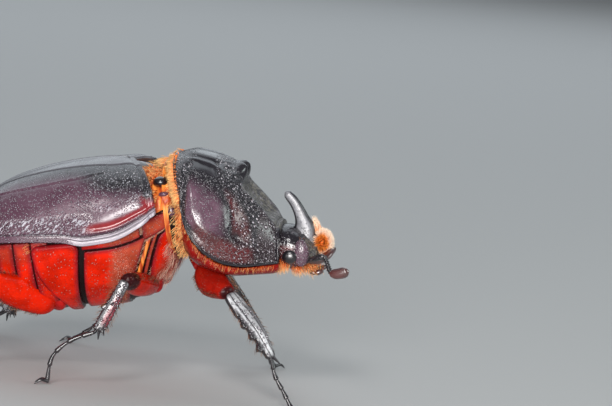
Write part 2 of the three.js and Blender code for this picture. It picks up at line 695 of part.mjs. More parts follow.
const beetle = new THREE.Group();
beetle.name = "beetle";
beetle.add(buildHindBody(), buildForeBody(), buildLegs());
beetle.position.set(-ORIGIN.x, -ORIGIN.y, 0);
beetle.updateMatrixWorld(true);
const node = (name) => beetle.getObjectByName(name);

// Cuts a piece back from its neighbours, each grown by a gap and seen in the piece's own frame.
function fit(name, ...neighbours) {
  const target = node(name);
  const home = target.matrixWorld.clone().invert();
  const tools = neighbours.map((other) =>
    grown(node(other).geometry, JOINT_GAP).applyMatrix4(home.clone().multiply(node(other).matrixWorld)),
  );
  target.geometry = cut(target.geometry, ...tools);
}

// Cuts a piece off at a plane x = limit in another piece's frame.
function endAt(name, limit, frameOf) {
  const target = node(name);
  const beyond = block([limit, -FAR, -FAR], [FAR, FAR, FAR]);
  beyond.applyMatrix4(target.matrixWorld.clone().invert().multiply(node(frameOf).matrixWorld));
  target.geometry = cut(target.geometry, beyond);
}

const BODY = [
  "mesothorax", "metathorax", "abdomen", "coxa_hind_left", "coxa_hind_right", "prosternum", "waist",
];
const boxOf = (name) => new THREE.Box3().setFromObject(node(name));
const near = (a, b) => boxOf(a).expandByScalar(JOINT_GAP).intersectsBox(boxOf(b));

for (const name of ["waist", "elytron_left", "elytron_right", "mesothorax", "metathorax"])
  fit(name, "scutellum");
endAt("waist", PROSTERNUM_X[0] - SEAM_GAP, "prosternum");
fit("waist", "mesothorax", "pronotum");
fit("head", "pronotum", "prosternum", "eye_left", "eye_right");
fit("horn", "head");
fit("mouth_brush", "head", "horn");
for (const side of ["left", "right"]) {
  fit("mandible_" + side, "head", "mouth_brush");
  fit("palp_" + side, "head", "mandible_" + side);
  fit("antenna_stalk_" + side, "head");
  for (const place of Object.keys(LEGS)) {
    const label = place + "_" + side;
    const hip = (place === "hind" ? "trochanter_" : "coxa_") + label;
    const body = BODY.filter((name) => near(hip, name) || near("femur_" + label, name));
    fit(hip, ...body);
    fit("femur_" + label, hip, ...body);
    fit("tibia_" + label, "femur_" + label);
    fit("tarsus_" + label, "tibia_" + label);
  }
}
export default beetle;
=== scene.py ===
"""The looks of a male rhinoceros beetle, life size, standing on its six feet with its head towards +X.

Shapes are worked out in millimetres with numpy, as functions of two parameters on a grid, and written to
meshes in metres. Each part of the body is first shaped in its own frame: the hind body, the fore body and
the head are pitched one against the other, and the legs are shaped in the frame of the floor.
"""

import logging
import math
from collections.abc import Callable, Sequence
from dataclasses import dataclass, field
from enum import Enum
from functools import cache

import bpy
import numpy as np
from mathutils import Matrix


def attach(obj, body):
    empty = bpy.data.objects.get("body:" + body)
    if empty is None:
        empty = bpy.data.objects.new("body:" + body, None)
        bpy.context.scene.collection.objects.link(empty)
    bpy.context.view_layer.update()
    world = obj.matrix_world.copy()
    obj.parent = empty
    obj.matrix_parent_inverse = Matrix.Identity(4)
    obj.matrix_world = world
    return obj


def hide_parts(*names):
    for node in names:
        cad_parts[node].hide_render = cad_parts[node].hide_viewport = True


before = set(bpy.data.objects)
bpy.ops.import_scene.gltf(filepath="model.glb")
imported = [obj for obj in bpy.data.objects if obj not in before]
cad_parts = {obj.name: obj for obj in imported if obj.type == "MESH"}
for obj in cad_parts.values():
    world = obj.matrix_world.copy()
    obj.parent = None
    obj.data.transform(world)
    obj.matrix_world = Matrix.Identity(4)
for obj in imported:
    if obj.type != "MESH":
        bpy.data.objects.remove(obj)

Array = np.ndarray
Profile = Callable[[Array], Array]
Mark = float | Callable[[Array, Array], Array]
Point = tuple[float, float, float]
LOG = logging.getLogger("beetle")
MM = 0.001
PI = math.pi
QUARTER = math.pi / 2


# ---- Numbers and curves ----


def lerp(low: Array, high: Array, share: Array) -> Array:
    """The value a share of the way from low to high."""
    return low + (high - low) * share


def smooth(value: Array, low: float, high: float) -> Array:
    """0 up to low, 1 from high, and a smooth cubic step between; low may be the greater."""
    t = np.clip((value - low) / (high - low), 0, 1)
    return t * t * (3 - 2 * t)


def bump(distance: Array, width: float) -> Array:
    """A bell: 1 at no distance, falling off as e to the minus square of distance over width."""
    return np.exp(-((distance / width) ** 2))


def window(value: Array, low: float, high: float, soft: float) -> Array:
    """1 between low and high, 0 outside, with soft edges."""
    return smooth(value, low - soft, low + soft) * smooth(value, high + soft, high - soft)


def signed_power(value: Array, exponent: float) -> Array:
    """A power of the value's size that keeps its sign, for arches squarer than an ellipse."""
    return np.sign(value) * np.abs(value) ** exponent


def unit(vectors: Array) -> Array:
    """Vectors along the last axis, made one long."""
    return vectors / np.maximum(np.linalg.norm(vectors, axis=-1, keepdims=True), 1e-12)


def towards(*parts: float) -> Array:
    """The unit direction with these parts."""
    return unit(np.array(parts))


def stacked(*parts: Array) -> Array:
    """Points on a grid, from their three coordinates."""
    return np.stack(np.broadcast_arrays(*parts), axis=-1)


def circle(count: int) -> Array:
    """Turns evenly round a ring, as one row."""
    return np.linspace(-PI, PI, count, endpoint=False)[None, :]


def eased(share: Array) -> Array:
    """A share that starts and ends slowly, by half a turn of a cosine."""
    return 0.5 - 0.5 * np.cos(PI * share)


def valued(mark: Mark, first: Array, second: Array) -> Array:
    """A mark's values on a grid: worked out from its two coordinates, or the same everywhere."""
    return mark(first, second) if callable(mark) else np.full(first.shape, float(mark))


def through(*stops: tuple[float, float]) -> Profile:
    """A smooth curve through stops that never overshoots them.

    Each span is a cubic. The slope at a stop is the harmonic mean of its neighbours' slopes, or 0 where the
    curve turns.

    Args:
        stops: Pairs of place and value, in rising order of place.

    Returns:
        A function of an array of places.
    """
    x, y = np.array(stops, float).T
    slope = np.diff(y) / np.diff(x)
    both = slope[:-1] * slope[1:]
    total = np.where(both > 0, slope[:-1] + slope[1:], 1)
    tangent = np.concatenate([slope[:1], np.where(both > 0, 2 * both / total, 0), slope[-1:]])

    def curve(at: Array) -> Array:
        """The curve's value at each place."""
        i = np.clip(np.searchsorted(x, at, side="right") - 1, 0, len(x) - 2)
        wide = x[i + 1] - x[i]
        t = np.clip((at - x[i]) / wide, 0, 1)
        lean = tangent[i] * t * (1 - t) ** 2 - tangent[i + 1] * t * t * (1 - t)
        return y[i] * (1 + 2 * t) * (1 - t) ** 2 + y[i + 1] * t * t * (3 - 2 * t) + wide * lean

    return curve


class Path:
    """A smooth line through points in space, measured by the share of its length."""

    SAMPLES = 60

    def __init__(self, points: Sequence[Sequence[float]]) -> None:
        """Fits a centripetal Catmull-Rom curve: each span is a cubic whose end slopes weigh the spans beside
        it by the square root of their lengths.

        Args:
            points: The points it passes, in order.
        """
        p = np.array(points, float)
        p = np.vstack([2 * p[0] - p[1], p, 2 * p[-1] - p[-2]])
        gap = np.sqrt(np.linalg.norm(np.diff(p, axis=0), axis=1))[:, None]
        t = np.linspace(0, 1, self.SAMPLES)[None, :, None]
        a, b, c, d = p[:-3], p[1:-2], p[2:-1], p[3:]
        before, span, after = gap[:-2], gap[1:-1], gap[2:]
        start = ((b - a) / before - (c - a) / (before + span) + (c - b) / span) * span
        end = ((c - b) / span - (d - b) / (span + after) + (d - c) / after) * span
        b, c, start, end = (v[:, None, :] for v in (b, c, start, end))
        curve = b + start * t + (3 * (c - b) - 2 * start - end) * t**2 + (2 * (b - c) + start + end) * t**3
        self.table = curve.reshape(-1, 3)
        steps = np.linalg.norm(np.diff(self.table, axis=0), axis=1)
        reached = np.concatenate([[0], np.cumsum(steps)])
        self.length = float(reached[-1])
        self.share = reached / self.length

    def at(self, share: Array) -> Array:
        """The points at shares of the length, clamped to the line's two ends."""
        return stacked(*(np.interp(share, self.share, column) for column in self.table.T))

    def ahead(self, share: Array) -> Array:
        """The unit directions of travel at shares of the length."""
        step = 0.01
        return unit(self.at(np.minimum(share + step, 1)) - self.at(np.maximum(share - step, 0)))


@dataclass(frozen=True)
class Frame:
    """Where a part's own frame stands in the row frame: its place, and its pitch, nose up, in degrees."""

    x: float
    z: float
    pitch: float = 0.0
    y: float = -0.34

    def place(self, points: Array) -> Array:
        """Points of this frame, given in the row frame."""
        cos, sin = math.cos(math.radians(self.pitch)), math.sin(math.radians(self.pitch))
        x, y, z = points[..., 0], points[..., 1], points[..., 2]
        return stacked(x * cos - z * sin + self.x, y + self.y, x * sin + z * cos + self.z)

    def inside(self, x: float, z: float) -> "Frame":
        """A frame with the same pitch that stands at a point of this one."""
        at = self.place(np.array([x, 0.0, z]))
        return Frame(float(at[0]), float(at[2]), self.pitch)


FLOOR = Frame(1.33, 0.0)
HIND = Frame(1.33, 15.4, 12.0)
FORE = Frame(4.31, 19.11, 6.0)
HEAD = FORE.inside(11.6, -4.2)


# ---- Meshes ----


def cells(index: Array) -> Array:
    """The four-cornered faces between a grid's neighbouring points, given the grid of their numbers."""
    return stacked(index[:-1, :-1], index[:-1, 1:], index[1:, 1:], index[1:, :-1]).reshape(-1, 4)


def grid_normals(points: Array, closed: bool = False) -> Array:
    """Unit normals of a grid of points: the cross product of its two central differences.

    Args:
        points: The grid, rows by columns by 3.
        closed: Whether its last column joins its first.
    """
    down = np.gradient(points, axis=0)
    if closed:
        across = np.roll(points, -1, axis=1) - np.roll(points, 1, axis=1)
    else:
        across = np.gradient(points, axis=1)
    return unit(np.cross(down, across))


@dataclass
class Shape:
    """A closed mesh as arrays, in millimetres, with named values per point for its material."""

    points: Array
    quads: Array = field(default_factory=lambda: np.zeros((0, 4), int))
    tris: Array = field(default_factory=lambda: np.zeros((0, 3), int))
    marks: dict[str, Array] = field(default_factory=dict)
    unwrap: Array | None = None

    def facing_out(self) -> "Shape":
        """The shape with its faces turned outwards, by the sign of the volume that they enclose."""
        corners = np.concatenate([self.quads[:, [0, 1, 2]], self.quads[:, [0, 2, 3]], self.tris])
        a, b, c = (self.points[corners[:, k]] for k in range(3))
        if np.einsum("ij,ij->i", a, np.cross(b, c)).sum() < 0:
            self.quads, self.tris = self.quads[:, ::-1], self.tris[:, ::-1]
        return self

    def placed(self, where: Frame) -> "Shape":
        """The shape moved from a part's frame to the row frame."""
        self.points = where.place(self.points)
        return self

    def mirrored(self) -> "Shape":
        """A copy for the beetle's other side."""
        flipped = self.points * np.array([1, -1, 1])
        return Shape(flipped, self.quads[:, ::-1], self.tris[:, ::-1], dict(self.marks), self.unwrap)

    def paired(self) -> "Shape":
        """The shape with its mirror image, whose patches lie on the unwrap's other half."""
        twin = self.mirrored()
        if self.unwrap is not None:
            twin.unwrap = 1 - self.unwrap
        return joined([self, twin])

    def faces(self) -> int:
        """How many triangles it has."""
        return 2 * len(self.quads) + len(self.tris)


def joined(shapes: Sequence[Shape]) -> Shape:
    """Several shapes as one mesh. A mark that one of them lacks is 0 there."""
    starts = np.concatenate([[0], np.cumsum([len(s.points) for s in shapes])[:-1]])
    names = set().union(*(s.marks for s in shapes))
    flat = all(s.unwrap is not None for s in shapes)
    return Shape(
        np.concatenate([s.points for s in shapes]),
        np.concatenate([s.quads + n for s, n in zip(shapes, starts)]),
        np.concatenate([s.tris + n for s, n in zip(shapes, starts)]),
        {
            name: np.concatenate([s.marks.get(name, np.zeros(len(s.points))) for s in shapes])
            for name in sorted(names)
        },
        np.concatenate([s.unwrap for s in shapes]) if flat else None,
    )


def tube(rings: Array, marks: dict[str, Array | float] | None = None) -> Shape:
    """A closed skin over rings of points, each end closed by a fan to its ring's middle.

    Args:
        rings: Rows by columns by 3; the last column joins the first.
        marks: Values on the same grid.
    """
    rows, columns = rings.shape[:2]
    index = np.arange(rows * columns).reshape(rows, columns)
    wrapped = np.concatenate([index, index[:, :1]], axis=1)
    poles = rings[[0, -1]].mean(axis=1)
    first, last = rows * columns, rows * columns + 1
    a, b = wrapped[0, :-1], wrapped[0, 1:]
    c, d = wrapped[-1, :-1], wrapped[-1, 1:]
    fans = [stacked(b, a, first), stacked(c, d, last)]
    values = {}
    for name, grid in (marks or {}).items():
        grid = np.broadcast_to(grid, (rows, columns))
        values[name] = np.concatenate([grid.ravel(), grid[[0, -1]].mean(axis=1)])
    points = np.concatenate([rings.reshape(-1, 3), poles])
    return Shape(points, cells(wrapped), np.concatenate(fans), values).facing_out()


def plate(outer: Array, inner: Array, marks: dict[str, Array | float] | None = None) -> Shape:
    """A closed plate between two grids of points, which share the outer grid's border.

    Args:
        outer: The outer face, rows by columns by 3.
        inner: The inner face, on a grid of the same size.
        marks: Values on the same grid, given to both faces.
    """
    rows, columns = outer.shape[:2]
    front = np.arange(rows * columns).reshape(rows, columns)
    back = front.copy()
    back[1:-1, 1:-1] = rows * columns + np.arange((rows - 2) * (columns - 2)).reshape(rows - 2, columns - 2)
    values = {}
    for name, grid in (marks or {}).items():
        grid = np.broadcast_to(grid, (rows, columns))
        values[name] = np.concatenate([grid.ravel(), grid[1:-1, 1:-1].ravel()])
    points = np.concatenate([outer.reshape(-1, 3), inner[1:-1, 1:-1].reshape(-1, 3)])
    return Shape(points, np.concatenate([cells(front), cells(back)[:, ::-1]]), marks=values).facing_out()


def round_ends(share: Array, start: float, end: float) -> Array:
    """The size of a tube with round ends: a quarter of a circle over a share of its length at each end."""
    near = np.clip(share / max(start, 1e-6), 0, 1)
    far = np.clip((1 - share) / max(end, 1e-6), 0, 1)
    return np.sqrt(np.clip(1 - (1 - near) ** 2, 1e-6, 1)) * np.sqrt(np.clip(1 - (1 - far) ** 2, 1e-6, 1))


@dataclass
class Limb:
    """A tube round a path, oval in section, with round ends.

    wide and thin give its half sizes by the share of its length, and its thin side faces along the vector
    face. relief adds to the radius, in millimetres, by share and turn. square is the exponent on the oval's
    sine and cosine, under 1 for flatter faces.
    """

    path: Path
    wide: Profile
    thin: Profile
    face: Sequence[float] = (0, 1, 0)
    ends: tuple[float, float] = (0.06, 0.06)
    relief: Callable[[Array, Array], Array] | None = None
    square: float = 1.0

    def at(self, share: Array, turn: Array) -> Array:
        """Points of the surface: the path's point, plus the oval's two axes by the turn's cosine and sine."""
        ahead = self.path.ahead(share)
        face = np.array(self.face, float)
        across = unit(face - ahead * (ahead @ face)[..., None])
        beside = np.cross(ahead, across)
        size = round_ends(share, *self.ends)
        cos = signed_power(np.cos(turn), self.square)[..., None]
        sin = signed_power(np.sin(turn), self.square)[..., None]
        reach = across * (size * self.thin(share))[..., None] * cos
        reach = reach + beside * (size * self.wide(share))[..., None] * sin
        if self.relief is not None:
            reach = reach + unit(reach) * (size * self.relief(share, turn))[..., None]
        return self.path.at(share) + reach

    def shape(self, rows: int, columns: int, marks: dict[str, Mark] | None = None) -> Shape:
        """Its mesh, with rows closer together at the ends, and marks worked out from share and turn.

        Args:
            rows: Rings along it.
            columns: Points in a ring.
            marks: Values by share and turn, or plain numbers.
        """
        share, turn = np.meshgrid(eased(np.linspace(0, 1, rows)), circle(columns), indexing="ij")
        values = {name: valued(mark, share, turn) for name, mark in (marks or {}).items()}
        return tube(self.at(share, turn), values)

    def roots(self, share: Array, turn: Array) -> tuple[Array, Array, Array]:
        """Points of the surface, the directions away from the path, and the directions along it."""
        at = self.at(share, turn)
        return at, unit(at - self.path.at(share)), self.path.ahead(share)


def pebble(
    centre: Sequence[float],
    sizes: Sequence[float],
    rows: int = 40,
    columns: int = 48,
    power: float = 1.0,
    marks: dict[str, Mark] | None = None,
) -> Shape:
    """An ellipsoid about a centre, squarer where power is under 1.

    Args:
        centre: Its middle.
        sizes: Its half sizes along x, y and z.
        rows: Rings from its -x end to its +x end.
        columns: Points in a ring.
        power: The exponent on the sines and cosines of its two angles.
        marks: Values by the two angles, or plain numbers.
    """
    down, turn = np.meshgrid(np.linspace(0.004, PI - 0.004, rows), circle(columns), indexing="ij")
    ring = signed_power(np.sin(down), power)
    x = -signed_power(np.cos(down), power)
    y, z = ring * signed_power(np.sin(turn), power), ring * signed_power(np.cos(turn), power)
    points = stacked(x, y, z) * np.array(sizes) + np.array(centre)
    return tube(points, {name: valued(mark, down, turn) for name, mark in (marks or {}).items()})


def show(shape: Shape, name: str, finish: "Finish", *replaced: str) -> None:
    """Writes a shape to a mesh object that rides with the body.

    Args:
        shape: The shape, in the row frame.
        name: The piece's name.
        finish: Its finish, which names its material and a slot.
        replaced: The CAD nodes that it stands for.
    """
    mesh = bpy.data.meshes.new(name)
    corners = np.concatenate([shape.quads.ravel(), shape.tris.ravel()]).astype(np.int32)
    sizes = np.concatenate([np.full(len(shape.quads), 4), np.full(len(shape.tris), 3)])
    starts = np.concatenate([[0], np.cumsum(sizes)[:-1]]).astype(np.int32)
    mesh.vertices.add(len(shape.points))
    mesh.vertices.foreach_set("co", (shape.points * MM).astype(np.float32).ravel())
    mesh.loops.add(len(corners))
    mesh.loops.foreach_set("vertex_index", corners)
    mesh.polygons.add(len(sizes))
    mesh.polygons.foreach_set("loop_start", starts)
    mesh.update(calc_edges=True)
    mesh.validate()
    mesh.shade_smooth()
    for mark, values in shape.marks.items():
        mesh.attributes.new(mark, "FLOAT", "POINT").data.foreach_set("value", values.astype(np.float32))
    if shape.unwrap is not None:
        flat = mesh.uv_layers.new(name="OFBake")
        flat.data.foreach_set("uv", shape.unwrap[corners].astype(np.float32).ravel())
    mesh.materials.append(finish.material())
    piece = bpy.data.objects.new(name, mesh)
    bpy.context.scene.collection.objects.link(piece)
    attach(piece, "root")
    if replaced:
        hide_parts(*replaced)
    LOG.info("%s: %d triangles", name, shape.faces())


# ---- Finishes ----

Colour = tuple[float, float, float]
Value = bpy.types.NodeSocket | float | tuple[float, ...]
Inputs = dict[str | int, Value]


class Graph:
    """Adds and joins the nodes of a material or of a node group."""

    def __init__(self, tree: bpy.types.NodeTree) -> None:
        """Starts on an emptied tree."""
        tree.nodes.clear()
        self.tree = tree

    def add(self, kind: str, inputs: Inputs | None = None, **settings: object) -> bpy.types.Node:
        """Adds a node.

        Args:
            kind: The node's type.
            inputs: What its inputs are joined to or set to, by name or number.
            settings: Its own options.
        """
        node = self.tree.nodes.new(kind)
        for option, value in settings.items():
            setattr(node, option, value)
        for key, value in (inputs or {}).items():
            if isinstance(value, bpy.types.NodeSocket):
                self.tree.links.new(value, node.inputs[key])
            else:
                node.inputs[key].default_value = value
        return node

    def math(self, operation: str, *values: Value, clamp: bool = False) -> Value:
        """One sum, product or the like of up to three values."""
        node = self.add("ShaderNodeMath", dict(enumerate(values)), operation=operation, use_clamp=clamp)
        return node.outputs[0]

    def times(self, first: Value, second: Value) -> Value:
        """The product of two values."""
        return self.math("MULTIPLY", first, second)

    def mix(self, share: Value, low: Value, high: Value, blend: str = "MIX") -> Value:
        """Two colours blended."""
        low, high = (v if isinstance(v, bpy.types.NodeSocket) else (*v, 1.0) for v in (low, high))
        node = self.add("ShaderNodeMix", {0: share, 6: low, 7: high}, data_type="RGBA", blend_type=blend)
        return node.outputs[2]

    def dim(self, colour: Value, factor: Value) -> Value:
        """A colour times a factor."""
        grey = self.add("ShaderNodeCombineColor", {0: factor, 1: factor, 2: factor}).outputs[0]
        return self.mix(1.0, colour, grey, "MULTIPLY")

    def step(self, value: Value, low: Value, high: Value, start: float = 0.0, end: float = 1.0) -> Value:
        """A smooth step: start up to low, end from high."""
        inputs = {0: value, 1: low, 2: high, 3: start, 4: end}
        return self.add("ShaderNodeMapRange", inputs, interpolation_type="SMOOTHSTEP").outputs[0]

    def mark(self, name: str) -> Value:
        """A named value of the piece's points, 0 where the piece has none."""
        return self.add("ShaderNodeAttribute", attribute_type="GEOMETRY", attribute_name=name).outputs["Fac"]

    def millimetres(self, stretch: tuple[float, float, float] = (1, 1, 1), tilt: float = 0.0) -> Value:
        """The point's own place in millimetres, turned by a tilt in degrees about Y, then times a stretch."""
        place = self.add("ShaderNodeTexCoord").outputs["Object"]
        inputs = {"Vector": place, "Rotation": (0.0, math.radians(tilt), 0.0)}
        inputs["Scale"] = tuple(MM / share for share in stretch)
        return self.add("ShaderNodeMapping", inputs, vector_type="TEXTURE").outputs[0]

    def noise(self, vector: Value, scale: Value, detail: float = 3.0) -> Value:
        """A cloud pattern from 0 to 1, with scale in features per millimetre."""
        inputs = {"Vector": vector, "Scale": scale, "Detail": detail}
        return self.add("ShaderNodeTexNoise", inputs).outputs["Fac"]

    def bumped(self, height: Value, distance: float, normal: Value | None = None) -> Value:
        """A normal tilted by a height, which stands for a distance in millimetres."""
        inputs = {"Height": height, "Distance": distance * MM}
        if normal is not None:
            inputs["Normal"] = normal
        return self.add("ShaderNodeBump", inputs).outputs[0]

    def use(self, group: bpy.types.NodeTree, inputs: Inputs) -> Value:
        """A shared group placed in this tree; returns its outputs."""
        return self.add("ShaderNodeGroup", inputs, node_tree=group).outputs


def shared(name: str, inputs: str, draw: Callable[[Graph, Value], Inputs]) -> bpy.types.NodeTree:
    """Makes a shared node group.

    Args:
        name: The group's name.
        inputs: The names of its inputs; the one called Vector is a vector, and the others are numbers.
        draw: Adds its nodes to a graph, given its inputs, and returns its outputs by name.
    """
    tree = bpy.data.node_groups.new(name, "ShaderNodeTree")
    for key in inputs.split():
        kind = "NodeSocketVector" if key == "Vector" else "NodeSocketFloat"
        tree.interface.new_socket(name=key, in_out="INPUT", socket_type=kind)
    graph = Graph(tree)
    outputs = draw(graph, graph.add("NodeGroupInput").outputs)
    for key in outputs:
        tree.interface.new_socket(name=key, in_out="OUTPUT", socket_type="NodeSocketFloat")
    graph.add("NodeGroupOutput", outputs)
    return tree


def punctures(graph: Graph, given: Value) -> Inputs:
    """Round pits of mixed sizes: a step of the distance to scattered points, each with its own radius."""
    ratio = graph.math("DIVIDE", 1.0, given["Spacing"])
    vector = graph.add("ShaderNodeVectorMath", {0: given["Vector"], "Scale": ratio}, operation="SCALE")
    points = graph.add("ShaderNodeTexVoronoi", {"Vector": vector.outputs[0], "Scale": 1.0})
    draw = graph.add("ShaderNodeSeparateColor", {0: points.outputs["Color"]}).outputs[0]
    radius = graph.times(given["Size"], graph.math("MULTIPLY_ADD", draw, 0.6, 0.4))
    pit = graph.step(points.outputs["Distance"], graph.times(radius, 0.35), radius, 1.0, 0.0)
    return {"Pit": pit, "Height": graph.times(pit, -1.0), "Centre": graph.step(pit, 0.75, 1.0)}


def wrinkles(graph: Graph, given: Value) -> Inputs:
    """Fine creases: the ridges of a cloud pattern, sharp where it crosses its middle value."""
    cloud = graph.noise(given["Vector"], given["Scale"], 2.0)
    ridge = graph.math("ABSOLUTE", graph.math("SUBTRACT", cloud, 0.5))
    return {"Height": graph.times(ridge, 4.0), "Ridge": graph.step(ridge, 0.07, 0.15)}


def wear(graph: Graph, given: Value) -> Inputs:
    """The uneven tone of an old shell, and the pale specks of dust on it."""
    tone = graph.step(graph.noise(given["Vector"], 0.45, 4.0), 0.3, 0.7)
    return {"Tone": tone, "Dust": graph.step(graph.noise(given["Vector"], 3.2, 2.0), 0.64, 0.76)}


PUNCTURES = shared("Punctures", "Vector Spacing Size", punctures)
WRINKLES = shared("Wrinkles", "Vector Scale", wrinkles)
WEAR = shared("Wear", "Vector", wear)


def material_from(name: str, draw: Callable[[Graph], Inputs]) -> bpy.types.Material:
    """Makes a material.

    Args:
        name: Its name.
        draw: Adds its nodes to a graph, and returns the inputs of its Principled shader.
    """
    made = bpy.data.materials.new(name)
    made.use_nodes = True
    graph = Graph(made.node_tree)
    shader = graph.add("ShaderNodeBsdfPrincipled", draw(graph))
    graph.add("ShaderNodeOutputMaterial", {"Surface": shader.outputs[0]})
    return made


@dataclass(frozen=True)
class Finish:
    """A surface's looks: its material's name, and a slot's name."""

    name: str
    slot: str

    def inputs(self, graph: Graph) -> Inputs:
        """Adds the finish's nodes, and returns the inputs of its Principled shader."""
        raise NotImplementedError

    @cache
    def material(self) -> bpy.types.Material:
        """Its material, made once."""
        return material_from(self.name, self.inputs)


@dataclass(frozen=True)
class Pits:
    """A kind of puncture: how far apart and how wide in millimetres and as a share of that, and how deep."""

    spacing: float
    size: float
    depth: float


@dataclass(frozen=True)
class Chitin(Finish):
    """Hard shell: three colours laid over one another by marks, painted shade in the pits, and four bumps.

    flank takes the second colour, warm the third, black the line colour; a painted reflection takes the pale
    one.
    rough is where the coarse pits are, crease where the shell is finely wrinkled, and smooth where there are
    no fine pits. dusty is where it is dull and grey. dust_and_glint is how pale the middles of fine pits, of
    coarse pits and of creases are: dust lies there, and glints are painted there.
    """

    dark: Colour
    flank: Colour
    warm: Colour
    fine: Pits = Pits(0.3, 0.42, 0.02)
    coarse: Pits = Pits(0.42, 0.6, 0.07)
    crease: float = 0.05
    crease_stretch: tuple[float, float, float] = (0.45, 1.0, 1.6)
    tilt: float = 0.0
    mottle: float = 0.25
    # How pale the middles of fine pits, coarse pits and creases are: dust, and painted glints.
    dust_and_glint: tuple[float, float, float] = (0.0, 0.0, 0.0)
    # The pale colour of dust, of painted glints and of the painted reflection.
    pale: Colour = (0.66, 0.6, 0.66)
    grey: Colour = (0.2, 0.19, 0.16)
    # The colour of lines, and of the painted shade in pits.
    line: Colour = (0.012, 0.009, 0.013)
    roughness: float = 0.3
    coat: float = 0.5
    coat_roughness: float = 0.16
    specular: float = 0.5
    glow: float = 0.0

    def pits(self, graph: Graph, kind: Pits, place: Value) -> Value:
        """The outputs of the shared pits, for one kind of them."""
        return graph.use(PUNCTURES, {"Vector": place, "Spacing": kind.spacing, "Size": kind.size})

    def inputs(self, graph: Graph) -> Inputs:
        """Adds its nodes, and returns the shader's inputs."""
        place = graph.millimetres()
        wear = graph.use(WEAR, {"Vector": place})
        fine = self.pits(graph, self.fine, place)
        coarse = self.pits(graph, self.coarse, graph.millimetres((0.6, 1.0, 1.0), self.tilt))
        folded = graph.millimetres(self.crease_stretch, self.tilt)
        creases = graph.use(WRINKLES, {"Vector": folded, "Scale": 2.4})
        plain = graph.math("SUBTRACT", 1.0, graph.mark("smooth"), clamp=True)
        rough, crease, dusty = graph.mark("rough"), graph.mark("crease"), graph.mark("dusty")
        colour = graph.mix(graph.mark("flank"), self.dark, self.flank)
        colour = graph.mix(graph.mark("warm"), colour, self.warm)
        tone = graph.step(wear["Tone"], 0.0, 1.0, 1 - self.mottle, 1 + 0.7 * self.mottle)
        colour = graph.dim(colour, tone)
        pit = graph.math("MAXIMUM", graph.times(fine["Pit"], plain), graph.times(coarse["Pit"], rough))
        # Painted shade: the pits are darkened half way towards the line colour.
        colour = graph.mix(graph.times(pit, 0.5), colour, self.line)
        colour = graph.mix(graph.mark("black"), colour, self.line)
        # Painted reflection: its mark lightens the colour towards the pale colour.
        colour = graph.mix(graph.mark("painted_reflection"), colour, self.pale)
        # Pale specks at the middles of pits and on the creases' ridges: dust, and painted glints.
        kinds = ((fine["Centre"], plain), (coarse["Centre"], rough), (creases["Ridge"], crease))
        dust_and_glints = [graph.times(graph.times(*kind), share) for kind, share in zip(kinds, self.dust_and_glint)]
        dust_and_glint = graph.math("MAXIMUM", graph.math("MAXIMUM", dust_and_glints[0], dust_and_glints[1]), dust_and_glints[2])
        colour = graph.mix(dust_and_glint, colour, self.pale)
        grain = graph.step(graph.noise(place, 2.6, 4.0), 0.35, 0.68)
        colour = graph.mix(graph.times(dusty, grain), colour, self.grey)
        dust = graph.times(wear["Dust"], graph.math("MULTIPLY_ADD", rough, 0.16, 0.015))
        colour = graph.mix(dust, colour, (0.55, 0.5, 0.46))
        shine = graph.math("MULTIPLY_ADD", wear["Tone"], 0.1, self.roughness - 0.05)
        normal = graph.bumped(graph.times(fine["Height"], plain), self.fine.depth)
        normal = graph.bumped(graph.times(coarse["Height"], rough), self.coarse.depth, normal)
        normal = graph.bumped(graph.times(creases["Height"], crease), self.crease, normal)
        return {
            "Base Color": colour,
            "Roughness": graph.math("MULTIPLY_ADD", dusty, 0.35, shine),
            "Normal": graph.bumped(graph.times(grain, dusty), 0.12, normal),
            "IOR": 1.6,
            "Specular IOR Level": self.specular,
            "Coat Weight": self.coat,
            "Coat Roughness": self.coat_roughness,
            "Coat IOR": 1.56,
            "Subsurface Weight": self.glow,
            "Subsurface Scale": 0.6 * MM,
            "Subsurface Radius": (1.0, 0.15, 0.05),
        }


@dataclass(frozen=True)
class Hair(Finish):
    """Stiff hair: the tip mark blends its two colours, and the shade mark darkens whole hairs."""

    root: Colour
    tip: Colour
    darkest: float = 0.45

    def inputs(self, graph: Graph) -> Inputs:
        """Adds its nodes, and returns the shader's inputs."""
        colour = graph.mix(graph.step(graph.mark("tip"), 0.1, 0.9), self.root, self.tip)
        colour = graph.dim(colour, graph.step(graph.mark("shade"), 0.0, 1.0, self.darkest, 1.35))
        return {"Base Color": colour, "Roughness": 0.5, "IOR": 1.5, "Specular IOR Level": 0.3}


@dataclass(frozen=True)
class Hide(Finish):
    """Soft skin between plates: creases darken it and bend its normal, and its shade mark deepens it."""

    pale: Colour
    deep: Colour

    def inputs(self, graph: Graph) -> Inputs:
        """Soft skin between plates: creases darken it as painted shade and bend its normal, and its shade
        mark deepens it.
        """
        folds = {"Vector": graph.millimetres((1.0, 0.45, 0.28), -12.0), "Scale": 0.9}
        creases = graph.use(WRINKLES, folds)["Height"]
        # Painted shade: darker in the creases.
        colour = graph.mix(graph.step(creases, 0.0, 0.7), self.deep, self.pale)
        colour = graph.mix(graph.times(graph.mark("shade"), 0.6), colour, self.deep)
        grain = graph.noise(graph.millimetres(), 6.0, 3.0)
        normal = graph.bumped(grain, 0.03, graph.bumped(creases, 0.16))
        return {"Base Color": colour, "Roughness": 0.36, "Normal": normal, "IOR": 1.45}


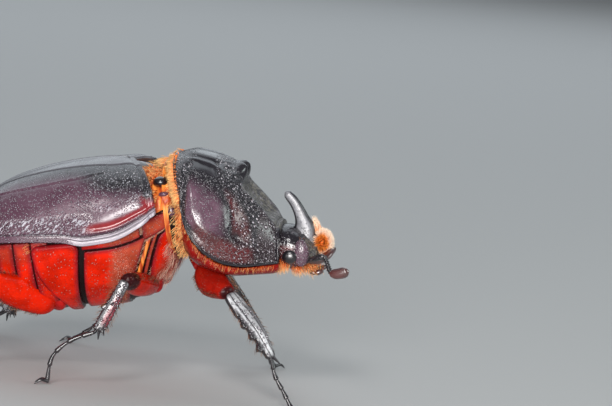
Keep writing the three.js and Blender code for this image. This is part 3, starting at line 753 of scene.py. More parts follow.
@dataclass(frozen=True)
class Eye(Finish):
    """A compound eye: black and very glossy, with a net of tiny lenses as bump under a smooth coat."""

    def inputs(self, graph: Graph) -> Inputs:
        """Adds its nodes, and returns the shader's inputs."""
        net = {"Vector": graph.millimetres(), "Scale": 22.0}
        lenses = graph.add("ShaderNodeTexVoronoi", net).outputs["Distance"]
        colour = graph.mix(lenses, (0.004, 0.003, 0.004), (0.01, 0.008, 0.012))
        inputs = {"Base Color": colour, "Roughness": 0.3, "IOR": 1.6, "Normal": graph.bumped(lenses, 0.004)}
        return inputs | {"Specular IOR Level": 0.5, "Coat Weight": 1.0, "Coat Roughness": 0.21}


BLACK, BROWN = (0.012, 0.009, 0.013), (0.06, 0.018, 0.014)
BLACK_SHELL = Chitin("black_shell", "shell_black", BLACK, (0.05, 0.018, 0.03), BROWN, roughness=0.28)
PURPLE_SHELL = Chitin(
    "purple_shell", "shell_purple", (0.012, 0.01, 0.015), (0.095, 0.036, 0.062), (0.27, 0.006, 0.01),
    fine=Pits(0.19, 0.6, 0.06), coarse=Pits(0.26, 0.62, 0.18), crease=0.16,
    crease_stretch=(1.5, 1.3, 0.6), tilt=40.0, roughness=0.27, coat=0.0, specular=0.8,
    # Pale dust and painted glints in its pits and on its creases.
    dust_and_glint=(0.6, 0.75, 0.8), pale=(0.63, 0.61, 0.68), mottle=0.12,
)
SHIELD = Chitin(
    "shield", "shell_black", BLACK, (0.12, 0.055, 0.085), (0.075, 0.006, 0.008),
    fine=Pits(0.17, 0.65, 0.05), coarse=Pits(0.27, 0.66, 0.18), crease=0.1, coat=0.0,
    crease_stretch=(0.8, 0.6, 1.0), tilt=45.0, roughness=0.2, specular=0.8,
    # Pale dust and painted glints in its pits and on its creases.
    dust_and_glint=(0.3, 0.7, 0.3), grey=(0.17, 0.155, 0.125),
)
# Its second colour, a grey, is the painted sheen on the horn's broad faces.
HORN = Chitin(
    "horn", "shell_black", (0.012, 0.01, 0.014), (0.17, 0.17, 0.185), BROWN, fine=Pits(0.3, 0.5, 0.03),
    roughness=0.34, coat=0.4, coat_roughness=0.24, specular=0.6, mottle=0.6,
)
CUTICLE = Chitin(
    "cuticle", "cuticle_red", (0.6, 0.012, 0.0005), (0.36, 0.06, 0.028), (0.17, 0.008, 0.018),
    fine=Pits(0.3, 0.48, 0.025), coarse=Pits(0.26, 0.5, 0.04), crease=0.05,
    crease_stretch=(1.0, 0.6, 0.5), roughness=0.27, coat=0.0, specular=0.1, glow=0.12, mottle=0.25,
    # Pale dust and painted glints in its pits.
    dust_and_glint=(0.4, 0.4, 0.0), pale=(0.8, 0.4, 0.33), line=(0.03, 0.004, 0.005),
)
SEAM = Chitin(
    "seam", "cuticle_red", (0.008, 0.003, 0.003), (0.03, 0.01, 0.01), BROWN, roughness=0.5, coat=0.0,
    specular=0.1,
)
# Its second colour, a pale grey, is the painted sheen of the tibiae.
DARK_LEG = Chitin(
    "dark_leg", "leg_dark", (0.014, 0.01, 0.013), (0.5, 0.5, 0.52), (0.22, 0.014, 0.03),
    fine=Pits(0.24, 0.45, 0.03), coarse=Pits(0.3, 0.6, 0.22), roughness=0.24, coat=0.0, specular=0.8,
    # Pale dust and painted glints in its pits.
    dust_and_glint=(0.3, 0.5, 0.0),
)
CLUB = Chitin(
    "club", "club_brown", (0.05, 0.003, 0.002), (0.13, 0.025, 0.02), (0.3, 0.06, 0.02),
    fine=Pits(0.12, 0.4, 0.01), roughness=0.28, coat=1.0, coat_roughness=0.28, specular=1.0,
)
HIDE = Hide("hide", "hide_orange", (1.0, 0.34, 0.06), (0.42, 0.05, 0.008))
EYE = Eye("eye", "eye_black")
ORANGE_HAIR = Hair("orange_hair", "hair_orange", (0.9, 0.15, 0.015), (1.0, 0.62, 0.25), darkest=0.65)
PALE_HAIR = Hair("pale_hair", "hair_orange", (0.6, 0.25, 0.15), (0.85, 0.6, 0.48))
# Its pale tips show only round the ball's rim, as a painted highlight.
BRUSH_HAIR = Hair("brush_hair", "hair_orange", (1.0, 0.36, 0.06), (1.0, 0.82, 0.66), darkest=0.9)
BRISTLE = Hair("bristle", "hair_orange", (0.06, 0.02, 0.012), (0.4, 0.2, 0.11))


# ---- Hair ----


@dataclass(frozen=True)
class Strand:
    """A kind of hair: its length and width in millimetres, and how it grows.

    lift is 0 where it lies flat and 1 where it stands straight out of the skin; bend is how far it has
    turned back to its lie at its tip; spread is how much hairs differ; clump is how far they draw together in
    locks of about so many hairs as lock says.
    """

    length: float
    width: float = 0.05
    lift: float = 0.4
    bend: float = 0.6
    spread: float = 0.3
    curl: float = 0.0
    clump: float = 0.35
    lock: int = 14
    rings: int = 3


def coat(roots: Array, out: Array, lie: Array, strand: Strand, unwrap: Array, seed: int) -> Shape:
    """Many hairs as one mesh, each a thin three-sided spine that ends in a point.

    A hair's direction turns evenly from its start to its end, so its middle line is a parabola. Hairs whose
    roots are nearest to the same one of some drawn roots are a lock, and draw together towards their tips.

    Args:
        roots: Where they grow, n by 3.
        out: Unit directions out of the skin.
        lie: Unit directions that the coat lies along.
        strand: The kind of hair.
        unwrap: The roots' places on an unwrap of their skin, n by 2, from 0 to 1.
        seed: The seed of its random draws.
    """
    rng = np.random.default_rng(seed)
    count = len(roots)
    scatter = strand.spread * rng.normal(size=(count, 3)) * 0.6
    start = unit(strand.lift * out + (1 - strand.lift) * lie + scatter)
    end = unit(lerp(start, lie, strand.bend))
    length = strand.length * (1 + strand.spread * rng.uniform(-1, 0.7, count))[:, None, None]
    t = np.append(np.linspace(0, 0.8, strand.rings), 1.0)[None, :, None]
    line = length * (start[:, None] * t + (end - start)[:, None] * t**2 / 2)
    side = unit(np.cross(start, out + 0.3 * rng.normal(size=(count, 3))))
    over = np.cross(side, start)
    phase = rng.uniform(-PI, PI, count)[:, None, None]
    wave = 9.0 * t + phase
    line = line + length * strand.curl * t * (np.sin(wave) * side[:, None] + np.cos(wave) * over[:, None])
    line = line + roots[:, None]
    locks = max(2, count // strand.lock)
    middles = roots[rng.permutation(count)[:locks]]
    lock = ((roots[:, None] - middles[None]) ** 2).sum(-1).argmin(axis=1)
    sums = np.zeros((locks, *line.shape[1:]))
    np.add.at(sums, lock, line)
    mean = sums / np.maximum(np.bincount(lock, minlength=locks), 1)[:, None, None]
    pull = strand.clump * rng.uniform(0.5, 1.2, count)[:, None, None]
    line = lerp(line, mean[lock], np.minimum(pull * t**1.3, 0.95))
    corner = np.arange(3) * 2 * PI / 3
    radius = strand.width / 2 * (1 - 0.75 * t[0, :-1, 0] ** 1.3)
    around = np.cos(corner)[:, None, None] * side + np.sin(corner)[:, None, None] * over
    rings = line[:, :-1, None] + radius[None, :, None, None] * around.transpose(1, 0, 2)[:, None]
    per = 3 * strand.rings + 1
    points = np.concatenate([rings.reshape(count, -1, 3), line[:, -1:]], axis=1).reshape(-1, 3)
    own = np.arange(3 * strand.rings).reshape(strand.rings, 3)
    quads = cells(np.concatenate([own, own[:, :1]], axis=1))
    last = own[-1]
    tip = stacked(last, np.roll(last, -1), per - 1)
    tris = np.concatenate([[own[0, ::-1]], tip])
    starts = (np.arange(count) * per)[:, None, None]
    height = np.append(np.repeat(t[0, :-1, 0], 3), 1.0)
    across = np.append(np.tile([-1.0, 0.0, 1.0], strand.rings), 0.0)
    patch = 0.0015 * stacked(across, 2 * height - 1)
    return Shape(
        points,
        (quads + starts).reshape(-1, 4),
        (tris + starts).reshape(-1, 3),
        {"tip": np.tile(height, count), "shade": np.repeat(rng.uniform(0, 1, count), per)},
        (unwrap[:, None] + patch).reshape(-1, 2),
    )


# ---- Hind body ----


class Side(Enum):
    """The beetle's two sides, by the sign of y."""

    LEFT = 1
    RIGHT = -1

    @property
    def label(self) -> str:
        """The side's name in piece names."""
        return self.name.lower()

    def of(self, points: Sequence) -> Array:
        """Points given with y outwards, placed on this side."""
        return np.array(points, float) * np.array([1, self.value, 1])


@dataclass(frozen=True)
class HindBody:
    """The lines of the hind body along its own x axis, which the wing cases and the trunk share."""

    half_width: float = 9.9
    widest_x: float = -11.0
    apex_x: float = -21.3
    peak_x: float = -5.0
    height: float = 6.98
    suture_base_x: float = -0.8
    shoulder_x: float = 2.35
    roundness: float = 2.3
    trunk_front_x: float = 3.45
    trunk_rear_x: float = -21.05
    inset: float = 1.0

    def margin_z(self, x: Array) -> Array:
        """The height of the wing cases' side margin."""
        return through((-21.8, 0.3), (-18, 1.6), (-14, 2.05), (-3, 2.15), (0.5, 2.85), (3.5, 3.5))(x)

    def belly_z(self, x: Array) -> Array:
        """The height of the belly's middle line."""
        rear = ((-21.6, 0), (-20.6, -2.6), (-18.6, -4.7), (-16, -6.2), (-12, -7))
        return through(*rear, (-4.4, -7), (-1, -6.6), (1.4, -5), (2.6, -3.7), (3.5, -2.1))(x)

    def epipleuron(self, x: Array) -> Array:
        """How far a wing case's folded edge hangs below its margin."""
        return through((-20, 0), (-14, 0.35), (-8, 0.95), (-5.5, 1.55), (-1.5, 1.3), (0.8, 0.8), (2.35, 0))(x)

    def spread(self, x: Array) -> Array:
        """Half the width over the wing cases: nearly level, then a superellipse down to the apex."""
        front = self.half_width - 0.8 * ((x - self.widest_x) / (self.shoulder_x - self.widest_x)) ** 2
        back = np.clip((self.widest_x - x) / (self.widest_x - self.apex_x), 0, 1)
        return np.where(x > self.widest_x, front, self.half_width * (1 - back**2.4) ** (1 / 2.4))

    def arch(self, x: Array) -> Array:
        """The wing cases' height over their margin: a shallow parabola, then a quarter ellipse."""
        front = self.height - 0.03 * (x - self.peak_x) ** 2
        back = np.clip((self.peak_x - x) / (self.peak_x - self.apex_x), 0, 1)
        return np.where(x > self.peak_x, front, self.height * np.sqrt(1 - back**2))

    def trunk(self, x: Array, turn: Array, inset: float = 0.0) -> Array:
        """The trunk's skin: a superellipse about the margin, flatter above it and deeper below.

        Args:
            x: Places along the body.
            turn: The angle from straight up, towards the left side.
            inset: How far inside the skin the points lie.
        """
        power = 2 / self.roundness
        taper = through((-1, 0), (self.trunk_front_x, 1.6))(x)
        half = self.spread(x) - self.inset - taper - inset
        top = np.maximum(0.2, self.arch(x) - self.inset - 0.4 * taper)
        height = np.where(np.cos(turn) > 0, top, self.margin_z(x) - self.belly_z(x)) - inset
        y = half * signed_power(np.sin(turn), power)
        z = self.margin_z(x) + height * signed_power(np.cos(turn), power)
        return stacked(x, y, z)


@dataclass
class Elytra:
    """The two wing cases: arched plates with a line beside the suture, a beaded margin and a folded edge."""

    body: HindBody
    thickness: float = 0.6
    seam: float = 0.1
    rows: int = 230
    callus: float = 0.3
    bead: float = 0.15

    def surface(self, side: Side) -> Shape:
        """One wing case.

        Its section is an arch from the suture to the margin, and its base edge runs forward to the shoulder.
        Over it lie, as bells across the surface: the raised suture, the line beside it, faint ribs, the
        shoulder's swelling with a furrow below it, and beads along the margin and the base.

        Args:
            side: Which of the two.
        """
        body = self.body
        along = np.linspace(0, 0.9985, self.rows)[:, None]
        inner, outer = np.linspace(0, 1.25, 84, endpoint=False), np.linspace(1.25, QUARTER, 52)
        angle = np.concatenate([inner, outer])[None, :]
        s = eased(along**0.9)
        base_x = lerp(body.suture_base_x, body.shoulder_x, np.sin(angle) ** 0.85)
        x = lerp(base_x, body.apex_x, s)
        shoulder = 1 - 0.09 * np.maximum(0, 1 - s / 0.09) ** 2.5
        width, height = body.spread(x) * shoulder, body.arch(x) * shoulder
        skirt = body.epipleuron(x) * smooth(angle, 1.3, QUARTER)
        power = 2 / body.roundness
        y = width * np.sin(angle) ** power - 0.1 * skirt + self.seam / 2
        above = height * np.clip(np.cos(angle), 0, 1) ** power
        points = stacked(x, y, body.margin_z(x) - skirt + above)
        normal = grid_normals(points)
        normal = normal * np.sign((normal * (points - [0, 0, 2])).sum(-1).mean())
        behind = base_x - x
        front = smooth(x, -7.6, -6.2)
        line_y = through((-21.3, 0.6), (-17, 2.3), (-10, 3.9), (-2, 4.3), (2.4, 4.0))(x)
        rib_y = through((-21.3, 1), (-14.8, 6.1), (-10, 6.9), (-6, 6.6), (-3, 5.8))(x)
        relief = 0.08 * bump(y - 0.25, 0.3) - 0.12 * bump(y - line_y, 0.14)
        relief += 0.05 * bump(y - line_y + 0.35, 0.16)
        relief += 0.07 * (bump(y - rib_y, 0.14) - bump(y - rib_y - 0.3, 0.12)) * window(x, -19, -3.5, 1)
        swell_z = 1.5 + 0.1 * (x + 2.3)
        relief += self.callus * bump((x + 2.8) / 2.6, 1) * bump((above - swell_z) / 0.65, 1)
        relief -= 0.12 * bump(above - 1.12, 0.14) * smooth(x, -6, -4) * smooth(behind, 0.4, 1.2)
        relief += 0.25 * bump((x + 17.2) / 1.6, 1) * bump((y - 6) / 1.8, 1)
        relief += self.bead * (front * bump(above - 0.92, 0.1) - 0.8 * bump(above - 0.7, 0.08))
        relief += self.bead * front * (0.6 * bump(above - 0.54, 0.06) - 0.7 * bump(above - 0.43, 0.05))
        relief += self.bead * (bump(behind - 0.22, 0.16) - 0.8 * bump(behind - 0.55, 0.14))
        outer = points + normal * relief[..., None]
        row, column = np.arange(self.rows)[:, None], np.arange(angle.size)[None, :]
        border = np.minimum(np.minimum(row, self.rows - 1 - row), np.minimum(column, angle.size - 1 - column))
        inner = points - normal * (self.thickness * np.clip(border / 5, 0, 1))[..., None]
        purple = smooth(angle + 0.02 * (-x - 8) - 0.35 * smooth(x, -7, 0), 0.4, 0.85)
        edge = smooth(above, 0.72, 0.6)
        red = window(above, 0.95, 1.35, 0.15) * smooth(x, -6, -4)
        red += 0.9 * window(above, 0.5, 2.4, 0.5) * bump(behind - 0.8, 0.5)
        base = smooth(x, -6.5, -2.5) * window(angle, 0.55, 0.98, 0.1)
        # Painted shade: black in the grooves of the margin and along the line beside the suture.
        lines = 0.8 * bump(above - 0.7, 0.06) + front * bump(above - 0.43, 0.035)
        lines += 0.8 * bump(y - line_y, 0.12)
        swell = bump((x + 2.8) / 2.0, 1) * bump((above - swell_z) / 0.5, 1)
        streaks = window(above, 0.8, 1.9, 0.3) * smooth(x, -4, -6)
        upper = window(above, 3.0, 4.0, 0.4)
        marks = {
            # Painted reflection: the folded edge between its lines, and the band beside the suture, are made
            # pale.
            "painted_reflection": 0.45 * front * edge * (1 - np.clip(lines, 0, 1)) + 0.14 * smooth(y - line_y, 0.1, -0.3),
            "flank": np.maximum(purple, edge),
            "warm": np.clip(red, 0, 0.95) * (1 - edge),
            "black": np.clip(lines + smooth(behind, 1.4, 0.7) * smooth(angle, 1.35, 1.2) + 0.8 * base, 0, 1),
            "smooth": np.clip(edge * front + swell + red + smooth(y - line_y, 0.1, -0.2), 0, 1),
            "crease": streaks + 0.4 * window(above, 2.0, 2.6, 0.2) * smooth(x, -5, -3),
            "rough": base * smooth(behind, 0.5, 0.8) + 0.5 * window(x, -7, -4, 0.7) * upper,
        }
        return plate(side.of(outer), side.of(inner), marks).placed(HIND)

    def build(self) -> None:
        """Makes both wing cases."""
        for side in Side:
            show(self.surface(side), f"wing_case_{side.label}", PURPLE_SHELL, f"elytron_{side.label}")


@dataclass(frozen=True)
class Plate:
    """One plate of the trunk's flank, on the left side.

    rear and front are its ends' x, or give it by the height z; upper and lower are the turns of its long
    edges. It rises above the skin, falls off over the bevel, and has round corners. tile lifts its rear end,
    as roof tiles do, bead raises a line along its edges, and rim is how wide their darker colour is. hairy is
    how furred it is, by x and z.
    """

    rear: float | Profile
    front: float | Profile
    upper: float
    lower: float
    middle_x: float
    rise: float = 0.16
    sink: float = 0.3
    bevel: float = 0.35
    corner: float = 0.5
    tile: float = 0.0
    bead: float = 0.0
    rim: float = 1.0
    rows: int = 70
    columns: int = 90
    hairy: Mark = 0.0


@dataclass
class Flanks:
    """The trunk under the wing cases: a dark core, and the plates of the thorax and abdomen over it.

    suture and front give the metathorax's two edges, gap is the seam behind it, and knobs are the places and
    sizes of the hard knobs that the ruff leaves clear. core_rear is how far the core ends before the trunk.
    """

    body: HindBody
    core_inset: float = 0.14
    suture_x: float = -6.1
    suture_lean: float = 0.17
    front_x: float = 0.95
    front_lean: float = 0.5
    ventrites: int = 5
    gap: float = 0.45
    core_rear: float = 0.9
    knobs: tuple[tuple[Point, float], ...] = (
        ((2.75, 5.3, 6.3), 1.0),
        ((3.1, 6.3, 5.05), 0.65),
        ((3.8, 6.75, 3.2), 0.6),
    )

    def plate(self, spec: Plate) -> Shape:
        """A plate and its twin on the right side.

        The distance to its nearest edge, rounded at the corners, gives the height by a quarter of a circle.
        """
        u, v = np.meshgrid(np.linspace(0, 1, spec.rows), np.linspace(0, 1, spec.columns), indexing="ij")
        turn = lerp(spec.upper, spec.lower, v)
        level = self.body.trunk(np.full_like(turn, spec.middle_x), turn)[..., 2]
        ends = (spec.rear, spec.front)
        rear, front = (end(level) if callable(end) else np.full_like(level, end) for end in ends)
        x = lerp(rear, front, u)
        base = self.body.trunk(x, turn)
        normal = grid_normals(base)
        normal = normal * np.sign((normal * (base - [-8, 0, 0]) * [0, 1, 1]).sum(-1).mean())
        from_end = np.minimum(u, 1 - u) * (front - rear)
        from_edge = np.minimum(v, 1 - v) * (spec.lower - spec.upper) * 8.0
        shy = np.hypot(np.clip(spec.corner - from_end, 0, None), np.clip(spec.corner - from_edge, 0, None))
        nearest = np.minimum(from_end, from_edge)
        in_corner = (from_end < spec.corner) & (from_edge < spec.corner)
        near = np.where(in_corner, np.minimum(nearest, spec.corner - shy), nearest)
        curve = np.sqrt(np.clip(1 - (1 - np.clip(near / spec.bevel, 0, 1)) ** 2, 0, 1))
        lift = -spec.sink + (spec.sink + spec.rise) * curve + spec.tile * (1 - u) * curve
        lift = lift + spec.bead * bump(near - 0.42, 0.13)
        lift[[0, -1]], lift[:, [0, -1]] = -spec.sink, -spec.sink
        hairy = valued(spec.hairy, x, base[..., 2])
        marks = {
            "flank": 0.9 * hairy,
            "rough": 0.7 * hairy,
            "warm": 0.7 * smooth(near / spec.rim, 0.8, 0.2),
            "black": smooth(near / spec.rim, 0.24, 0.1),
            "crease": 0.4 * smooth(near, 0.1, 0.8) * (1 - hairy),
            "smooth": 0.5 * smooth(near, 0.8, 0.5),
        }
        one = plate(base + normal * lift[..., None], base - normal * spec.sink, marks)
        return one.paired().placed(HIND)

    def core(self) -> Shape:
        """The soft skin between the plates, seen as dark seams."""
        along = eased(np.linspace(0, 1, 120) ** 0.9)[:, None]
        x = lerp(self.body.trunk_rear_x + self.core_rear, self.body.trunk_front_x, along)
        turn = circle(160)
        return tube(self.body.trunk(x, turn, self.core_inset)).placed(HIND)

    def neck(self) -> Shape:
        """The soft skin before the wing cases' base, which goes over into the waist."""
        x = np.linspace(-2.0, 3.5, 60)[:, None]
        turn = circle(200)
        folds = 0.05 * np.sin(5 * x + 2 * np.sin(4 * turn))
        skin = self.body.trunk(x, turn, lerp(folds, 0.4, smooth(np.abs(turn), 1.54, 1.62)))
        shade = 0.5 + 0.5 * np.sin(9 * x + 3 * np.sin(7 * turn)) * smooth(np.abs(turn), 0.5, 1.1)
        return tube(skin, {"shade": shade}).placed(HIND)

    def ruff(self) -> Shape:
        """The hair that stands on the soft skin before the wing cases, round the hard knobs."""
        rng = np.random.default_rng(18)
        count = 1700
        x, turn = rng.uniform(1.0, 3.6, count), rng.uniform(0.1, 1.3, count)
        roots = self.body.trunk(x, turn, 0.05)
        clear = np.min([np.linalg.norm(roots - knob, axis=1) - size for knob, size in self.knobs], axis=0)
        kept = clear > rng.uniform(0, 0.35, count)
        x, turn, roots = x[kept], turn[kept], roots[kept]
        out = unit(roots - self.body.trunk(x, turn, 0.6))
        lie = towards(-0.5, 0.15, -0.6)
        strand = Strand(1.2, 0.1, lift=0.7, bend=0.45, spread=0.75, curl=0.1, clump=0.7, lock=9)
        flat = stacked((x + 22) / 26, turn / (2 * PI))
        return coat(roots, out, lie, strand, flat, 19).paired().placed(HIND)

    def suture(self, by: float) -> Profile:
        """The rear suture of the metathorax, which leans back below the margin, moved along x."""
        return lambda z: self.suture_x + self.suture_lean * np.minimum(0, z) + by

    def stripe(self, by: float) -> Profile:
        """The front edge of the metathorax, which leans back as it falls, moved along x."""
        return lambda z: self.front_x + self.front_lean * z + by

    def thorax(self) -> list[Shape]:
        """The metathorax: its large breastplate and the narrow plate above it."""
        half = self.gap / 2

        def hairline(x: Array, z: Array) -> Array:
            """The breastplate's front, where it is furred, behind a wavy line."""
            return smooth(x - 0.28 * z + 0.15 * np.sin(9 * z) + 0.1 * np.sin(23 * z + 2), -3.3, -2.1)

        breast = Plate(
            self.suture(half), self.stripe(-0.02), 1.76, PI, -3.0,
            bevel=0.12, corner=0.3, rows=90, columns=124, rim=0.75,
            hairy=hairline,
        )
        upper = Plate(
            -6.1, 0.3, 1.58, 1.756, -3.0, rise=0.2, bevel=0.09, corner=0.2, rows=80,
            columns=24, rim=0.5, hairy=lambda x, z: smooth(x, -4.4, -2.6),
        )
        rear = Plate(
            -11.2, -6.55, 1.56, 1.63, -8.5, rise=0.16, bevel=0.15, corner=0.2, rows=60,
            columns=24, hairy=0.4,
        )
        return [self.plate(breast), self.plate(upper), self.plate(rear)]

    def front_plates(self) -> list[Shape]:
        """The mesothorax: the furred plate behind the shoulder, and the smooth one before the stripe."""
        shoulder = Plate(
            0.42, 3.3, 1.58, 1.83, 1.5, rise=0.18, corner=0.45, columns=50,
            hairy=1,
        )
        smooth_one = Plate(
            self.stripe(1.06), 3.4, 1.85, PI, 1.0, rise=0.14, columns=90,
            hairy=lambda x, z: 0.5 * smooth(z - 1.2 * x, -4.2, -5.2),
        )
        return [self.plate(shoulder), self.plate(smooth_one)]

    def stripe_plates(self) -> list[Shape]:
        """Two narrow strips between metathorax and mesothorax: orange skin, and a pale ridge before it."""
        skin = Plate(
            self.stripe(0.0), self.stripe(0.6), 1.8, 2.6, -0.3,
            rise=0.08, sink=0.2, bevel=0.3, corner=0.15, rows=20, columns=70,
        )
        ridge = Plate(
            self.stripe(0.58), self.stripe(1.12), 1.8, 2.7, 0.2,
            rise=0.14, sink=0.2, bevel=0.22, corner=0.15, rows=24, columns=70, rim=0.3, hairy=1,
        )
        return [self.plate(skin), self.plate(ridge)]

    def coxal_plate(self) -> Shape:
        """The hind coxae: a broad plate, its upper rear corner rounded, its rear edge slanting down."""
        rear = through((-9, -8.9), (-6.2, -9.3), (-3.8, -10.7), (-1.7, -11.5), (0.5, -11.75))
        spec = Plate(
            rear, self.suture(-0.2), 1.645, 3.02, -8.5, rise=0.3, bevel=0.4, corner=0.9,
            bead=0.07, rows=78, columns=112,
        )
        return self.plate(spec)

    def belly(self) -> list[Shape]:
        """The abdomen's plates, each lapping over the next one behind it."""
        ends = np.linspace(-9.6, -19.3, self.ventrites + 1)
        specs = [
            Plate(
                back - 0.1, front, 1.6, PI, front, rise=0.04, tile=0.14, bevel=0.25,
                corner=0.3, rows=32, columns=90, hairy=lambda x, z: 0.5 * smooth(z, -1.5, 0.5),
            )
            for front, back in zip(ends[:-1], ends[1:])
        ]
        return [self.plate(spec) for spec in specs]

    def pygidium(self) -> Shape:
        """The last plate: the trunk's rear end, drawn to a low dome."""
        along = np.linspace(0, 1, 60)[:, None]
        turn = circle(140)
        x = lerp(self.body.trunk_rear_x, -19.35, along)
        skin = self.body.trunk(x, turn, -0.05)
        centre = skin.mean(axis=1, keepdims=True)
        size = round_ends(along, 0.28, 0.12)[..., None]
        skin = lerp(centre, skin, size)
        return tube(skin, {"flank": 0.6, "rough": 0.5}).placed(HIND)

    def hair(self) -> dict[str, Shape]:
        """The short fur of the flank, and the fringes at its front and on the abdomen's side."""
        rng = np.random.default_rng(11)

        def patch(count: int, x: Sequence[float], turn: Sequence[float], strand: Strand, seed: int) -> Shape:
            """Hairs scattered over a rectangle of the trunk's skin on both sides, lying backwards."""
            at_x, at_turn = rng.uniform(*x, count), rng.uniform(*turn, count)
            level = self.body.trunk(at_x, at_turn)[:, 2]
            ahead = at_x - self.stripe(0.0)(level)
            kept = (np.abs(at_turn - 1.757) > 0.03) & ((ahead < -0.1) | (ahead > 1.3) | (at_turn < 1.83))
            at_x, at_turn = at_x[kept], at_turn[kept]
            roots = self.body.trunk(at_x, at_turn, -0.08)
            out = unit(roots - self.body.trunk(at_x, at_turn, 0.5))
            lie = towards(-1.0, 0.0, -0.55)
            flat = stacked((at_x + 22) / 26, at_turn / (2 * PI))
            return coat(roots, out, lie, strand, flat, seed).paired()

        fur = Strand(0.34, 0.028, lift=0.25, bend=0.5, clump=0.1, rings=2)
        fringe = Strand(1.5, 0.035, lift=0.55, bend=0.3, spread=0.45, clump=0.5, lock=16)
        return {
            "flank_fur": joined([
                patch(4000, (-2.7, 0.9), (1.6, 2.5), fur, 12),
                patch(2400, (0.5, 3.2), (1.6, 1.83), fur, 13),
            ]).placed(HIND),
            "flank_fringe": joined([
                patch(260, (2.9, 3.4), (2.1, 2.9), fringe, 14),
                patch(160, (1.4, 2.9), (2.45, 3.0), fringe, 15),
            ]).placed(HIND),
            "belly_fringe": joined([
                patch(40, (-12.2, -11.5), (1.62, 1.78), Strand(0.5, 0.03, lift=0.4), 16),
                patch(420, (-20.6, -19.2), (1.7, 3.1), Strand(0.8, 0.04, lift=0.5), 17),
            ]).placed(HIND),
        }

    def build(self) -> None:
        """Makes the core, the plates and their hair."""
        show(self.core(), "trunk_core", SEAM)
        show(self.neck(), "trunk_neck", HIDE)
        show(self.ruff(), "neck_ruff", ORANGE_HAIR)
        show(joined(self.thorax()), "metathorax_plates", CUTICLE, "metathorax")
        show(joined(self.front_plates()), "mesothorax_plates", CUTICLE, "mesothorax")
        skin, ridge = self.stripe_plates()
        show(skin, "side_membrane", HIDE)
        show(ridge, "side_ridge", CUTICLE)
        show(self.coxal_plate(), "hind_coxal_plates", CUTICLE, "coxa_hind_left", "coxa_hind_right")
        show(joined(self.belly()), "belly_plates", CUTICLE, "abdomen")
        show(self.pygidium(), "pygidium_plate", CUTICLE, "pygidium")
        for name, shape in self.hair().items():
            kind = ORANGE_HAIR if name == "belly_fringe" else PALE_HAIR
            show(shape, name, kind)


# ---- Waist ----


